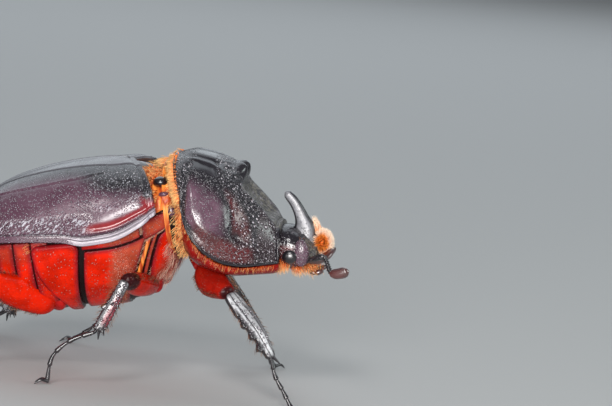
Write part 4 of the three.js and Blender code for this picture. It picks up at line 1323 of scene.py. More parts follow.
@dataclass
class Waist:
    """The soft joint before the wing cases, the small shield over it, and the hard knobs beside it."""

    front_x: float = 3.51
    length: float = 4.54
    half_width: float = 6.9
    half_height: float = 5.25
    z: float = 2.75
    drop: float = 1.0
    squareness: float = 0.87

    def at(self, along: Array, turn: Array, swell: float = 0.0) -> Array:
        """Points of its skin: a squarish ring that narrows and sinks a little on its way to the prothorax."""
        size = 1 - 0.05 * np.sin(PI * along) - 0.1 * along
        x = self.front_x + self.length * along
        y = (self.half_width * size + swell) * signed_power(np.sin(turn), self.squareness)
        z = self.z - self.drop * along
        z = z + (self.half_height * size + swell) * signed_power(np.cos(turn), self.squareness)
        return stacked(x, y, z)

    def skin(self) -> Shape:
        """The joint itself, with shallow folds across its length."""
        along = np.linspace(-0.12, 1.0, 80)[:, None]
        turn = circle(220)
        folds = 0.09 * np.sin(26 * along + 1.5 * np.sin(3 * turn)) - 0.05
        return tube(self.at(along, turn, folds)).placed(HIND)

    def shield(self) -> Shape:
        """The scutellum: an arched triangle between the wing cases' front corners, sloping down forwards."""
        along = np.linspace(0, 1, 60)[:, None]
        turn = circle(64)
        half = 1.75 * smooth(along, -0.25, 0.55) * (1 - 0.35 * along**3) * round_ends(along, 0.08, 0.05)
        y = half * np.sin(turn)
        z = 8.4 - 1.75 * along**1.4 + 0.3 * np.cos(turn) - 0.3 * np.sin(turn) ** 2
        marks = {"rough": 0.7 * window(along, 0.35, 1.1, 0.1)}
        return tube(stacked(lerp(-2.4, 3.3, along), y, z), marks).placed(HIND)

    def knobs(self) -> tuple[Shape, Shape]:
        """On each side, a glossy black knob, and a purple wedge below and before it."""
        black = pebble((2.75, 5.3, 6.3), (0.85, 0.85, 0.6), marks={"smooth": 1})
        purple = {"flank": 1}
        wedge = joined([
            pebble((3.1, 6.3, 5.05), (0.55, 0.45, 0.28), 24, 32, marks=purple),
            pebble((3.8, 6.75, 3.2), (0.4, 0.4, 0.65), 24, 32, marks=purple),
        ])
        return black.paired().placed(HIND), wedge.paired().placed(HIND)

    def collar(self) -> Shape:
        """The dark groove between the last hard plates and the wool, on the joint's lower half."""
        along = np.linspace(0.0, 0.13, 12)[:, None]
        turn = circle(160)
        return tube(self.at(along, turn, lerp(-0.4, 0.12, smooth(np.abs(turn), 1.3, 1.5)))).placed(HIND)

    def wool(self) -> Shape:
        """The woolly hair that covers the joint, lying back and down."""
        rng = np.random.default_rng(21)
        count = 3400
        turn = rng.uniform(0.05, 2.6, count)
        along = rng.uniform(0, 1, count) * 0.75 + 0.12 * smooth(turn, 0.4, 1.2)
        roots = self.at(along, turn, -0.1)
        out = unit(roots - self.at(along, turn, -1.0))
        lie = towards(-0.75, 0.1, -0.5)
        strand = Strand(1.25, 0.09, lift=0.55, bend=0.5, spread=0.75, curl=0.1, clump=0.75, lock=12, rings=2)
        flat = stacked(0.5 + 0.4 * along, turn / (2 * PI))
        wool = coat(roots, out, lie, strand, flat, 22)
        turn = rng.uniform(0.01, 0.16, 420)
        along = rng.uniform(0.0, 0.25, 420)
        roots = self.at(along, turn, -0.1)
        back = towards(-0.93, 0.1, 0.05)
        crest = Strand(2.3, 0.11, lift=0.35, bend=0.8, spread=0.4, curl=0.08, clump=0.75, lock=9)
        flat = stacked(0.5 + 0.4 * along, turn / (2 * PI))
        return joined([wool, coat(roots, back + [0, 0, 0.3], back, crest, flat, 23)]).paired().placed(HIND)

    def build(self) -> None:
        """Makes the joint, the shield, the knobs and the wool."""
        show(self.skin(), "waist_skin", HIDE, "waist")
        show(self.collar(), "waist_groove", SEAM)
        show(self.shield(), "small_shield", BLACK_SHELL, "scutellum")
        black, wedge = self.knobs()
        show(black, "shoulder_knobs", BLACK_SHELL)
        show(wedge, "shoulder_wedges", PURPLE_SHELL)
        show(self.wool(), "waist_wool", ORANGE_HAIR)


# ---- Prothorax ----


@dataclass
class Prothorax:
    """The large shield behind the head, hollowed in front under a two-knobbed crest, and the plate below it.

    Its lines run by s, from 0 at the rear edge to 1 at the front edge.
    """

    crest: float = 0.57
    hollow_depth: float = 1.15
    hollow_half_width: float = 3.0
    rim_y: float = 3.9
    knob_y: float = 1.25
    knob_reach: float = 0.75
    rows: int = 250
    bead: float = 0.14
    pit_at: tuple[float, float] = (0.63, 0.36)
    margin_power: float = 0.88

    def middle(self, s: Array) -> tuple[Array, Array]:
        """x and z of the line over its middle, as if it had no hollow."""
        x = through((0, -0.3), (0.13, 1.6), (0.27, 3.4), (0.47, 5.75), (0.57, 7), (0.61, 7.4), (0.77, 9.2),
                    (0.94, 10.6), (1, 11.4))
        z = through((0, 5.8), (0.13, 6.2), (0.27, 5.9), (0.47, 5.1), (0.57, 4.2), (0.61, 3.4), (0.77, 1.3),
                    (0.94, -0.5), (1, -1.8))
        return x(s), z(s)

    def side(self, s: Array) -> tuple[Array, Array, Array]:
        """x, y and z of its left side margin."""
        x = through((0, 1.05), (0.1, 1.35), (0.2, 1.8), (0.3, 2.75), (0.42, 4.3), (0.55, 6.2), (0.7, 8.2),
                    (1, 11.45))
        y = through((0, 7.2), (0.1, 8), (0.2, 8.65), (0.32, 8.9), (0.5, 8.3), (0.7, 6.9), (1, 4.7))
        z = through((0, 1.7), (0.1, 0.2), (0.2, -1.3), (0.3, -2.9), (0.42, -4.4), (0.55, -5.35), (0.7, -5.7),
                    (1, -5.6))
        return x(s), y(s), z(s)

    def up(self, s: Array, turn: Array) -> Array:
        """How far up from the margin to the middle line a point is, from 0 to 1."""
        power = lerp(self.margin_power, 0.7, smooth(s, 0.6, 1))
        return np.clip(np.cos(turn), 0, 1) ** power

    def at(self, s: Array, turn: Array) -> Array:
        """Points of the shield: each ring runs up from the margin to the middle line, and back flat below."""
        s, turn = np.broadcast_arrays(s, turn)
        power = lerp(self.margin_power, 0.7, smooth(s, 0.6, 1))
        up, top = self.up(s, turn), np.abs(turn) < QUARTER
        side_x, side_y, side_z = self.side(s)
        middle_x, middle_z = self.middle(s)
        y = side_y * signed_power(np.sin(turn), power)
        face = smooth(s, self.crest, self.crest + 0.12) * smooth(s, 1, 0.88)
        rim = 0.25 * bump(np.abs(y) - self.rim_y, 0.8)
        hollow = self.hollow_depth * np.exp(-((y / self.hollow_half_width) ** 4))
        knob = self.knob_reach * bump(np.abs(y) - self.knob_y, 0.9)
        knob = knob * np.exp(-(((s - self.crest) / 0.052) ** 4))
        raised = 0.7 * face * (rim - hollow)
        x = lerp(side_x, middle_x, up) + top * (raised + 0.72 * knob)
        z = lerp(side_z, middle_z, up) + top * (raised + 0.66 * knob)
        return stacked(x, y, z)

    def turns(self) -> Array:
        """The turns of a ring's points, closest together at the margin, where the bead is."""
        edge = 0.263 * np.linspace(1, 0, 30)[1:] ** 1.5
        half = np.concatenate([np.linspace(0, 1.35, 78), np.arccos(edge ** (1 / self.margin_power))])
        below = np.linspace(QUARTER, 3 * QUARTER, 26)[1:-1]
        return np.concatenate([-half[:0:-1], half, below])

    def brow(self, up: Array) -> Array:
        """Where the smooth disc ends and the pitted front begins, by s."""
        rise = ((0, 0.6), (0.4, 0.565), (0.58, 0.545), (0.72, 0.48), (0.8, 0.445), (0.93, 0.375), (1, 0.34))
        return through(*rise)(up)

    def shield(self) -> Shape:
        """The shield with its relief: beads round its edge, folds behind, a furrow and a pit."""
        s = eased(lerp(0.02, 0.98, np.linspace(0, 1, self.rows)))
        s = ((s - s[0]) / (s[-1] - s[0]))[:, None]
        turn = self.turns()[None, :]
        base = self.at(s, turn)
        normal = grid_normals(base, closed=True)
        normal = normal * np.sign((normal * (base - [4, 0, -3])).sum(-1).mean())
        s, turn = np.broadcast_arrays(s, turn)
        up, y = self.up(s, turn), np.abs(base[..., 1])
        top = smooth(np.cos(turn), 0.0, 0.02)
        from_margin, from_rear, from_front = 9.0 * up, 15.0 * s, 15.0 * (1 - s)
        near = np.minimum(np.minimum(from_margin, from_rear), from_front)
        inside = (np.maximum(from_margin, 0.01) ** -3 + np.maximum(from_rear - 1.3, 0.01) ** -3) ** (-1 / 3)
        relief = self.bead * (bump(near - 0.14, 0.1) - 0.8 * bump(near - 0.32, 0.07))
        relief -= 0.12 * window(s, 0.1, 0.185, 0.015) * window(up, 0.03, 0.85, 0.03)
        relief += 0.08 * bump(s - 0.215, 0.02) * window(up, 0.45, 0.9, 0.1)
        folds = window(s, 0.12, 0.42, 0.07)
        relief += folds * (0.16 * bump(y - 4.0, 0.4) - 0.14 * bump(y - 3.2, 0.35) + 0.12 * bump(y - 2.3, 0.4))
        dome = window(s, 0.1, 0.5, 0.09) * window(up, 0.05, 0.62, 0.1)
        relief += 0.3 * smooth(inside, 1.1, 2.3) * dome
        brow = (s - self.brow(up)) * 14
        relief -= 0.14 * bump(brow, 0.4) * window(up, 0.3, 0.95, 0.06)
        pit = np.hypot((s - self.pit_at[0]) * 15, (up - self.pit_at[1]) * 10)
        relief += 0.16 * bump(pit - 1.1, 0.22) - 0.6 * bump(pit, 0.65)
        behind = bump(s - self.crest + 0.1, 0.05) * window(y, 0.4, 4, 0.5)
        relief += 0.08 * behind * np.sin(5 * y + 40 * s)
        outer = base + normal * (relief * top)[..., None]
        front = smooth(brow, -0.1, 0.4)
        wall = smooth(s, self.crest + 0.02, self.crest + 0.06) * smooth(up, 0.86, 0.93)
        cheek = smooth(s, 0.76, 0.84)
        edge = smooth(near, 0.34, 0.2)
        disc = smooth(inside, 1.0, 1.6) * (1 - front)
        band = smooth(inside, 1.6, 1.0) * smooth(near, 0.35, 0.5) * smooth(s, 0.62, 0.5)
        low = smooth(up, 0.32, 0.2) * window(s, 0.3, 0.76, 0.05)
        cells_red = window(brow, 0.2, 2.2, 0.5) * window(up, 0.35, 0.72, 0.08)
        tip = np.clip(2 * bump(s - self.crest, 0.06) * bump(y - self.knob_y, 1.3), 0, 1)
        marks = {
            "flank": top * np.clip(disc * smooth(up, 0.78, 0.5) * smooth(brow, -0.1, -1.8) - low, 0, 1),
            "warm": top * np.clip(low + cells_red + 0.25 * cheek * (1 - wall), 0, 1) * (1 - edge),
            # The first three terms are painted shade: black in the marginal groove, the brow's furrow and the
            # pit.
            "black": np.clip(
                bump(near - 0.32, 0.07) + bump(brow, 0.25) * window(up, 0.3, 0.95, 0.1) + bump(pit, 0.6) + tip
                + 0.45 * cheek * (1 - wall), 0, 1
            ),
            "rough": top * np.clip(front * (1 - wall) + 0.8 * band - 0.1 * cheek - tip, 0, 1) * (1 - edge)
            * smooth(pit, 0.6, 1),
            "crease": top * front * wall,
            "smooth": np.clip(edge + folds * smooth(up, 0.78, 0.85) + tip, 0, 1),
            "dusty": top * np.clip(wall - tip, 0, 1),
        }
        return tube(outer, marks).placed(FORE)

    def below(self, x: Array, turn: Array, inset: float = 0.0) -> Array:
        """The plate below the shield: level along the shield's margin, and bellied under it."""
        gap = 0.22
        rim = ((1, 1.8), (1.35, 0.2), (1.8, -1.3), (2.75, -2.9), (4.3, -4.4), (6.2, -5.35), (8.2, -5.7))
        top = through(*rim, (11.4, -5.6))(x + gap) - gap
        bottom = through((1, -4.9), (3, -6.4), (6.5, -7.25), (10.5, -7.2), (11.4, -6.9))(x)
        half = through((1, 6.6), (2.4, 7.8), (4.3, 8), (6.3, 7.4), (8.2, 6.1), (11.4, 3.7))(x)
        down = np.clip(-np.cos(turn), 0, 1)
        y = (half - inset) * signed_power(np.sin(turn), 0.8)
        z = lerp(top, bottom + inset, down**0.75)
        return stacked(x, y, z)

    def underside(self) -> Shape:
        """The plate below the shield, which bears the front legs."""
        x = lerp(1.15, 11.3, eased(np.linspace(0.02, 0.98, 110)))[:, None]
        turn = circle(180)
        return tube(self.below(x, turn), {"rough": 0.6, "warm": 0.35, "black": 0.45}).placed(FORE)

    def fringe(self) -> Shape:
        """The hair that grows from under the shield's rear edge, lying back and down over the waist."""
        rng = np.random.default_rng(31)
        count = 1900
        s = np.abs(rng.normal(0, 0.012, count))
        turn = rng.uniform(0.05, 1, count) ** 0.8 * QUARTER
        roots = self.at(s, turn) * np.array([1, 0.97, 0.985]) + np.array([0.25, 0, -0.15])
        out = unit(stacked(-1.0, 0.55 * np.sin(turn), 0.75 * np.cos(turn)))
        lie = unit(stacked(-0.7, 0.05 * np.sin(turn), -0.75 + 0.2 * np.cos(turn)))
        strand = Strand(1.15, 0.11, lift=0.75, bend=0.6, spread=0.8, curl=0.1, clump=0.7, lock=9)
        flat = stacked(0.02 + s, turn / (2 * PI))
        return coat(roots, out, lie, strand, flat, 32).paired().placed(FORE)

    def lower_fringe(self) -> Shape:
        """The pale hair under the shield's side margin, and over the plate below it."""
        rng = np.random.default_rng(33)
        count = 260
        s = rng.uniform(0.02, 0.97, count)
        roots = self.at(s, np.full(count, QUARTER)) - np.array([0, 0.25, 0.12])
        roots = roots - rng.uniform(0, 1, (count, 1)) * np.array([0, 0.5, 0.2])
        out = towards(0.1, 0.8, -0.6)
        lie = towards(-0.25, 0.15, -0.9)
        strand = Strand(0.65, 0.035, lift=0.3, bend=0.6, spread=0.9, clump=0.5, lock=5)
        return coat(roots, out, lie, strand, stacked(s, 0.26), 34).paired().placed(FORE)

    def build(self) -> None:
        """Makes the shield, the plate below it and their hair."""
        show(self.shield(), "pronotum_shield", SHIELD, "pronotum")
        show(self.underside(), "prosternal_plate", CUTICLE, "prosternum")
        show(self.fringe(), "shield_fringe", ORANGE_HAIR)
        show(self.lower_fringe(), "shield_lower_fringe", ORANGE_HAIR)


# ---- Head ----


@dataclass(frozen=True)
class Antenna:
    """Where an antenna's stalk and club run, with y outwards."""

    stalk: tuple[Point, ...]
    club: tuple[Point, ...]


ANTENNAE = {
    Side.RIGHT: Antenna(
        ((2.5, 2.5, -1.55), (3.6, 3.4, -1.1), (4.75, 4, -0.75), (5.4, 4.45, -2.1)),
        ((5.4, 4.5, -2.45), (6.4, 4.85, -2.4), (7.6, 5.1, -2.05)),
    ),
    Side.LEFT: Antenna(
        ((2.5, 2.5, -1.55), (3.1, 3.3, -1.3), (3.4, 4.4, -1.15), (3.35, 5.6, -1.2)),
        ((3.4, 5.95, -1.2), (3.5, 6.95, -1.1), (3.75, 8.1, -0.8)),
    ),
}


@dataclass
class Head:
    """The head capsule with its horn, eyes, antennae and mouth parts, in the head's own frame."""

    rear_x: float = -0.9
    front_x: float = 3.9
    squareness: float = 0.85
    eye: tuple[float, float, float] = (0.9, 3.0, -0.9)

    def capsule(self) -> Shape:
        """The capsule: broad at the eyes, narrowed to the flat clypeus in front, with a raised front edge."""
        along = np.linspace(0, 1, 130)[:, None]
        turn = circle(170)
        half = through((0, 2.8), (0.35, 3.2), (0.55, 3.15), (0.72, 2.35), (0.9, 1.75), (1, 1.35))(along)
        top = through((0, 2.2), (0.3, 2.3), (0.6, 1.55), (0.85, 0.45), (1, -0.15))(along)
        bottom = through((0, -2.3), (0.4, -2.6), (0.8, -2.1), (1, -1.15))(along)
        size = round_ends(along, 0.05, 0.07)
        edge = 0.16 * bump(along - 0.95, 0.03) - 0.12 * bump(along - 0.87, 0.03)
        edge = edge - 0.14 * bump(along - 0.6, 0.025) * smooth(np.cos(turn), -0.2, 0.2)
        x = lerp(self.rear_x, self.front_x, along)
        y = (half * size + edge) * signed_power(np.sin(turn), self.squareness)
        height = (top - bottom) / 2 * size + edge
        z = (top + bottom) / 2 + height * signed_power(np.cos(turn), self.squareness)
        marks = {
            "rough": 0.15,
            "smooth": smooth(z, -0.4, 0.4) * smooth(along, 0.66, 0.6),
            "dusty": smooth(along, 0.66, 0.76),
            "warm": window(x, -0.7, 1.4, 0.3) * window(z, -2.0, 0.5, 0.3),
            # The capsule's upper rear is black: its own dark colour, deepened by painted shade behind the
            # horn.
            "black": 0.9 * window(z, 0.3, 3.0, 0.3) * smooth(along, 0.6, 0.4),
        }
        return tube(stacked(x, y, z), marks).placed(HEAD)

    def ridges(self) -> Shape:
        """The canthus, an oval ridge before each eye."""
        one = pebble((2.1, 2.85, -0.5), (0.85, 0.5, 1.5), 48, 56, marks={
            "flank": 0.75, "rough": 0.12
        })
        return one.paired().placed(HEAD)

    def horn(self) -> Shape:
        """The horn: it rises from the forehead, curves back, and is flattened towards its blunt tip."""
        path = Path([(2.05, 0, 0.2), (2.2, 0, 1.6), (1.75, 0, 3.3), (1.0, 0, 4.75), (0.05, 0, 5.85)])
        wide = through((0, 1.5), (0.25, 1.12), (0.5, 0.62), (0.75, 0.48), (0.93, 0.44), (1, 0.26))
        thin = through((0, 1.35), (0.12, 1.0), (0.25, 0.8), (0.5, 0.5), (0.75, 0.42), (0.93, 0.4), (1, 0.24))

        def keel(share: Array, turn: Array) -> Array:
            """A low keel along its front and back."""
            return 0.1 * bump(np.abs(turn) - QUARTER, 0.5) * window(share, 0.1, 0.9, 0.1)

        limb = Limb(path, wide, thin, ends=(0.02, 0.07), relief=keel, square=0.75)
        marks = {
            "rough": lambda share, turn: 0.6 * smooth(share, 0.75, 0.2),
            # Painted sheen: the horn's broad faces take the grey second colour.
            "flank": lambda share, turn: smooth(np.abs(np.cos(turn)), 0.55, 0.85),
            "smooth": lambda share, turn: 0.7 * smooth(share, 0.5, 0.8),
        }
        return limb.shape(130, 72, marks).placed(HEAD)

    def globe(self, side: Side) -> Shape:
        """An eye."""
        return pebble(side.of(self.eye), (0.85, 0.55, 0.8), 56, 64).placed(HEAD)

    def stalk(self, side: Side) -> Shape:
        """An antenna's scape, which thickens outwards, and the seven beads of its stalk."""
        club = side.of(ANTENNAE[side].club)
        path = Path([*side.of(ANTENNAE[side].stalk), club[0] * 0.7 + club[1] * 0.3])
        size = through((0, 0.26), (0.1, 0.2), (0.35, 0.27), (0.5, 0.36), (0.55, 0.3), (0.58, 0.24), (1, 0.28))

        def beads(share: Array, turn: Array) -> Array:
            """Seven waves along its outer part."""
            return 0.05 * smooth(share, 0.55, 0.6) * np.cos(7 * 2 * PI * (share - 0.6) / 0.4)

        limb = Limb(path, size, size, relief=beads)
        return limb.shape(150, 30, {"smooth": 0.5}).placed(HEAD)

    def club(self, side: Side) -> Shape:
        """An antenna's club: three leaves lying together, the outer ones longest."""
        path = Path(side.of(ANTENNAE[side].club))
        wide = through((0, 0.3), (0.3, 0.55), (0.7, 0.6), (0.92, 0.42), (1, 0.2))
        thin = through((0, 0.26), (0.4, 0.45), (0.85, 0.4), (1, 0.2))

        def slits(share: Array, turn: Array) -> Array:
            """The grooves between its leaves."""
            return -0.12 * bump(np.abs(np.cos(turn)) - 0.36, 0.1) * smooth(share, 0.05, 0.25)

        limb = Limb(path, wide, thin, ends=(0.1, 0.16), relief=slits)
        # Painted shade: black in the slits between the leaves.
        marks = {"black": lambda share, turn: 0.9 * bump(np.abs(np.cos(turn)) - 0.36, 0.13), "flank": 0.4}
        return limb.shape(60, 72, marks).placed(HEAD)

    def mandible(self, side: Side) -> Shape:
        """A jaw that curves in before the mouth."""
        path = Path(side.of([(2.9, 1.5, -1.5), (4.2, 1.65, -1.3), (5, 1.15, -0.75), (5.3, 0.55, -0.3)]))
        wide = through((0, 0.75), (0.5, 0.7), (0.85, 0.4), (1, 0.22))
        thin = through((0, 0.5), (0.6, 0.42), (1, 0.25))
        limb = Limb(path, wide, thin, (0, 0, 1), (0.08, 0.1))
        return limb.shape(60, 48, {"smooth": 0.7}).placed(HEAD)

    def palp(self, side: Side) -> Shape:
        """A feeler of the mouth, of four joints."""
        path = Path(side.of([(2.3, 1.1, -2.15), (3.1, 1.6, -2.75), (3.7, 1.7, -2.8), (4.4, 1.5, -2.55)]))
        size = through((0, 0.27), (0.3, 0.22), (0.8, 0.3), (1, 0.2))

        def waists(share: Array, turn: Array) -> Array:
            """The narrow places between its joints."""
            return -0.07 * (bump(share - 0.34, 0.04) + bump(share - 0.62, 0.04))

        return Limb(path, size, size, relief=waists).shape(70, 26).placed(HEAD)

    def brush(self) -> list[Shape]:
        """The mouth's brush: a dense ball of hair before the clypeus, and a lock that stands up."""
        rng = np.random.default_rng(41)
        core = pebble((4.15, 0, 0.35), (0.6, 0.95, 0.9), 24, 32, marks={"shade": 1})
        count = 5200
        aim = unit(rng.normal(size=(count, 3)) + np.array([0.35, 0, 0.0]))
        roots = aim * np.array([0.5, 0.85, 0.8]) + np.array([4.15, 0, 0.35])
        lie = unit(aim + np.array([0.1, 0, 0.45]))
        strand = Strand(0.85, 0.045, lift=0.8, bend=0.35, spread=0.3, curl=0.04, clump=0.4, lock=12, rings=2)
        flat = stacked(np.arctan2(aim[:, 1], aim[:, 0]) / 7 + 0.5, 0.5 + 0.45 * aim[:, 2])
        ball = coat(roots, aim, lie, strand, flat, 42)
        # Painted rim highlight: only the hairs round the ball's rim, as seen from the side, keep pale tips.
        ball.marks["tip"] *= np.repeat(smooth(np.abs(aim[:, 1]), 0.92, 0.55), len(ball.points) // count)
        count = 700
        share = rng.uniform(0, 1, (count, 1))
        roots = lerp(np.array([3.9, 0, 0.6]), np.array([3.55, 0, 1.9]), share)
        roots = roots + rng.normal(size=(count, 3)) * np.array([0.25, 0.3, 0.2]) * (1 - 0.6 * share)
        up = towards(-0.28, 0, 1.0)
        strand = Strand(1.5, 0.045, lift=0.5, bend=0.5, spread=0.25, clump=0.55, lock=40)
        lock = coat(roots, up, up, strand, stacked(share[:, 0], 0.98), 43)
        return [core.placed(HEAD), ball.placed(HEAD), lock.placed(HEAD)]

    def tufts(self) -> Shape:
        """Stray orange hair below the head: round the mouth and behind the eyes."""
        rng = np.random.default_rng(45)
        groups = []
        for place, spread, aim, count, seed in (
            ((2.9, 1.3, -2.0), (0.5, 0.3, 0.3), (0.5, 0.5, -0.8), 240, 46),
            ((-0.2, 2.6, -1.7), (0.5, 0.25, 0.3), (0.3, 0.5, -0.9), 260, 47),
            ((1.6, 1.9, -2.2), (0.4, 0.4, 0.2), (0.4, 0.4, -0.9), 160, 48),
        ):
            roots = np.array(place) + rng.normal(size=(count, 3)) * np.array(spread)
            out = towards(*aim)
            strand = Strand(0.9, 0.04, lift=0.6, spread=0.5, clump=0.4)
            flat = stacked(0.1 + 0.15 * roots[:, 0], 0.5 + 0.1 * roots[:, 1])
            one = coat(roots, out, unit(out - [0, 0, 0.5]), strand, flat, seed)
            groups += [one, one.mirrored()]
        return joined(groups).placed(HEAD)

    def build(self) -> None:
        """Makes every part of the head."""
        show(self.capsule(), "head_capsule", SHIELD, "head")
        show(self.ridges(), "eye_ridges", SHIELD)
        show(self.horn(), "head_horn", HORN, "horn")
        for side in Side:
            show(self.globe(side), f"compound_eye_{side.label}", EYE, f"eye_{side.label}")
        for side in Side:
            show(self.stalk(side), f"antenna_beads_{side.label}", DARK_LEG, f"antenna_stalk_{side.label}")
            show(self.club(side), f"antenna_leaves_{side.label}", CLUB, f"antenna_club_{side.label}")
            show(self.mandible(side), f"jaw_{side.label}", CLUB, f"mandible_{side.label}")
            show(self.palp(side), f"feeler_{side.label}", CLUB, f"palp_{side.label}")
        core, ball, lock = self.brush()
        show(core, "brush_core", BRUSH_HAIR)
        show(joined([ball, lock]), "brush_hair", BRUSH_HAIR, "mouth_brush")
        show(self.tufts(), "head_tufts", ORANGE_HAIR)


# ---- Legs ----


@dataclass(frozen=True)
class Step:
    """Where one leg stands: its joints below the hip, with y outwards."""

    knee: Point
    shin: Point
    ankle: Point
    foot: tuple[Point, Point]
    toe: tuple[float, float]


@dataclass(frozen=True)
class LegKind:
    """A pair of legs: the half sizes of its limbs, and its joints at the body, with y outwards.

    edge is the way its tibia's toothed edge faces. teeth gives each tooth's share of the tibia and reach.
    crown is how many spines stand round its lower end, and collars are the shares that bear a ring of spines.
    shade darkens the whole femur, and dark_from is the share of its length where it turns black. panel is how
    red the tibia's broad faces are.
    """

    name: str
    coxa: float
    femur: tuple[float, float]
    tibia: tuple[float, float]
    edge: Point
    profile: tuple[tuple[float, float], ...]
    root: Point
    hip: Point
    sag: Point
    teeth: tuple[tuple[float, float], ...]
    grooves: float = 0.0
    shade: float = 0.0
    dark_from: float = 0.88
    panel: float = 0.0
    crown: int = 0
    collars: tuple[float, ...] = ()


class Pair(Enum):
    """The three pairs of legs."""

    FRONT = LegKind(
        "front", 1.3, (1.7, 1.35), (1.1, 0.5), (-0.42, 0.82, -0.38),
        ((0, 0.66), (0.15, 0.9), (0.4, 1), (0.8, 0.72), (1, 0.5)),
        (5.6, 1.9, 14.6), (6.9, 3.4, 13.2), (-0.35, 0, -0.45),
        # shade: painted shade over the front femur, in the shield's shadow.
        ((0.3, 0.1), (0.48, 0.32), (0.66, 0.42), (0.84, 0.5)), grooves=0.12, shade=0.55,
    )
    MIDDLE = LegKind(
        "middle", 1.25, (1.45, 1.25), (0.66, 0.55), (-0.85, 0.2, -0.35),
        ((0, 0.85), (0.3, 0.9), (0.8, 1.05), (1, 0.9)),
        (1.5, 2, 11.7), (1.4, 4.2, 10.4), (0, 0, -0.1),
        ((0.6, 0.3),), crown=9, collars=(0.45,), shade=0.2, dark_from=0.72, panel=0.9,
    )
    HIND = LegKind(
        "hind", 1.25, (1.85, 1.1), (1.15, 0.8), (-0.75, 0.6, 0.1),
        ((0, 0.5), (0.3, 0.65), (0.85, 1), (1, 0.9)),
        (-8.3, 3.4, 8.45), (-9.1, 4.8, 7.1), (-0.2, 0, 0.15),
        ((0.42, 0.35), (0.7, 0.45)), crown=11, collars=(0.35, 0.66),
    )


STANCE = {
    (Pair.FRONT, Side.RIGHT): Step(
        (10.35, 9, 11.6), (14.1, 10, 7.9), (15.95, 10.5, 5.35),
        ((16.54, 10.8, 3.6), (17.6, 11, 2.05)), (20, 11.5),
    ),
    (Pair.FRONT, Side.LEFT): Step(
        (7, 9, 11.3), (9.9, 9.6, 7.4), (12.15, 10.1, 4.5),
        ((12.95, 10.3, 2.6), (13.6, 10.8, 0.9)), (14.4, 13),
    ),
    (Pair.MIDDLE, Side.RIGHT): Step(
        (-0.4, 11.4, 12.1), (-1.55, 12, 9.2), (-2.75, 12.5, 6.35),
        ((-5.6, 12.7, 4.95), (-7.25, 12.9, 3.1)), (-8.9, 13.1),
    ),
    (Pair.MIDDLE, Side.LEFT): Step(
        (-2.1, 11.4, 11.7), (-3.4, 12, 8.7), (-4.8, 12.3, 5.7),
        ((-6.3, 12.35, 3.2), (-8, 12.45, 1.6)), (-11, 12.7),
    ),
    (Pair.HIND, Side.RIGHT): Step(
        (-15.5, 10.2, 9.9), (-17.3, 11.3, 6.3), (-19.1, 12.2, 2.8),
        ((-20.8, 12.6, 1.9), (-22.6, 13, 1)), (-25.3, 13.9),
    ),
    (Pair.HIND, Side.LEFT): Step(
        (-14.6, 10.4, 9.8), (-16.1, 11.6, 6.2), (-17.5, 12.6, 2.7),
        ((-19.2, 13, 1.8), (-21, 13.5, 0.95)), (-23.6, 14.6),
    ),
}


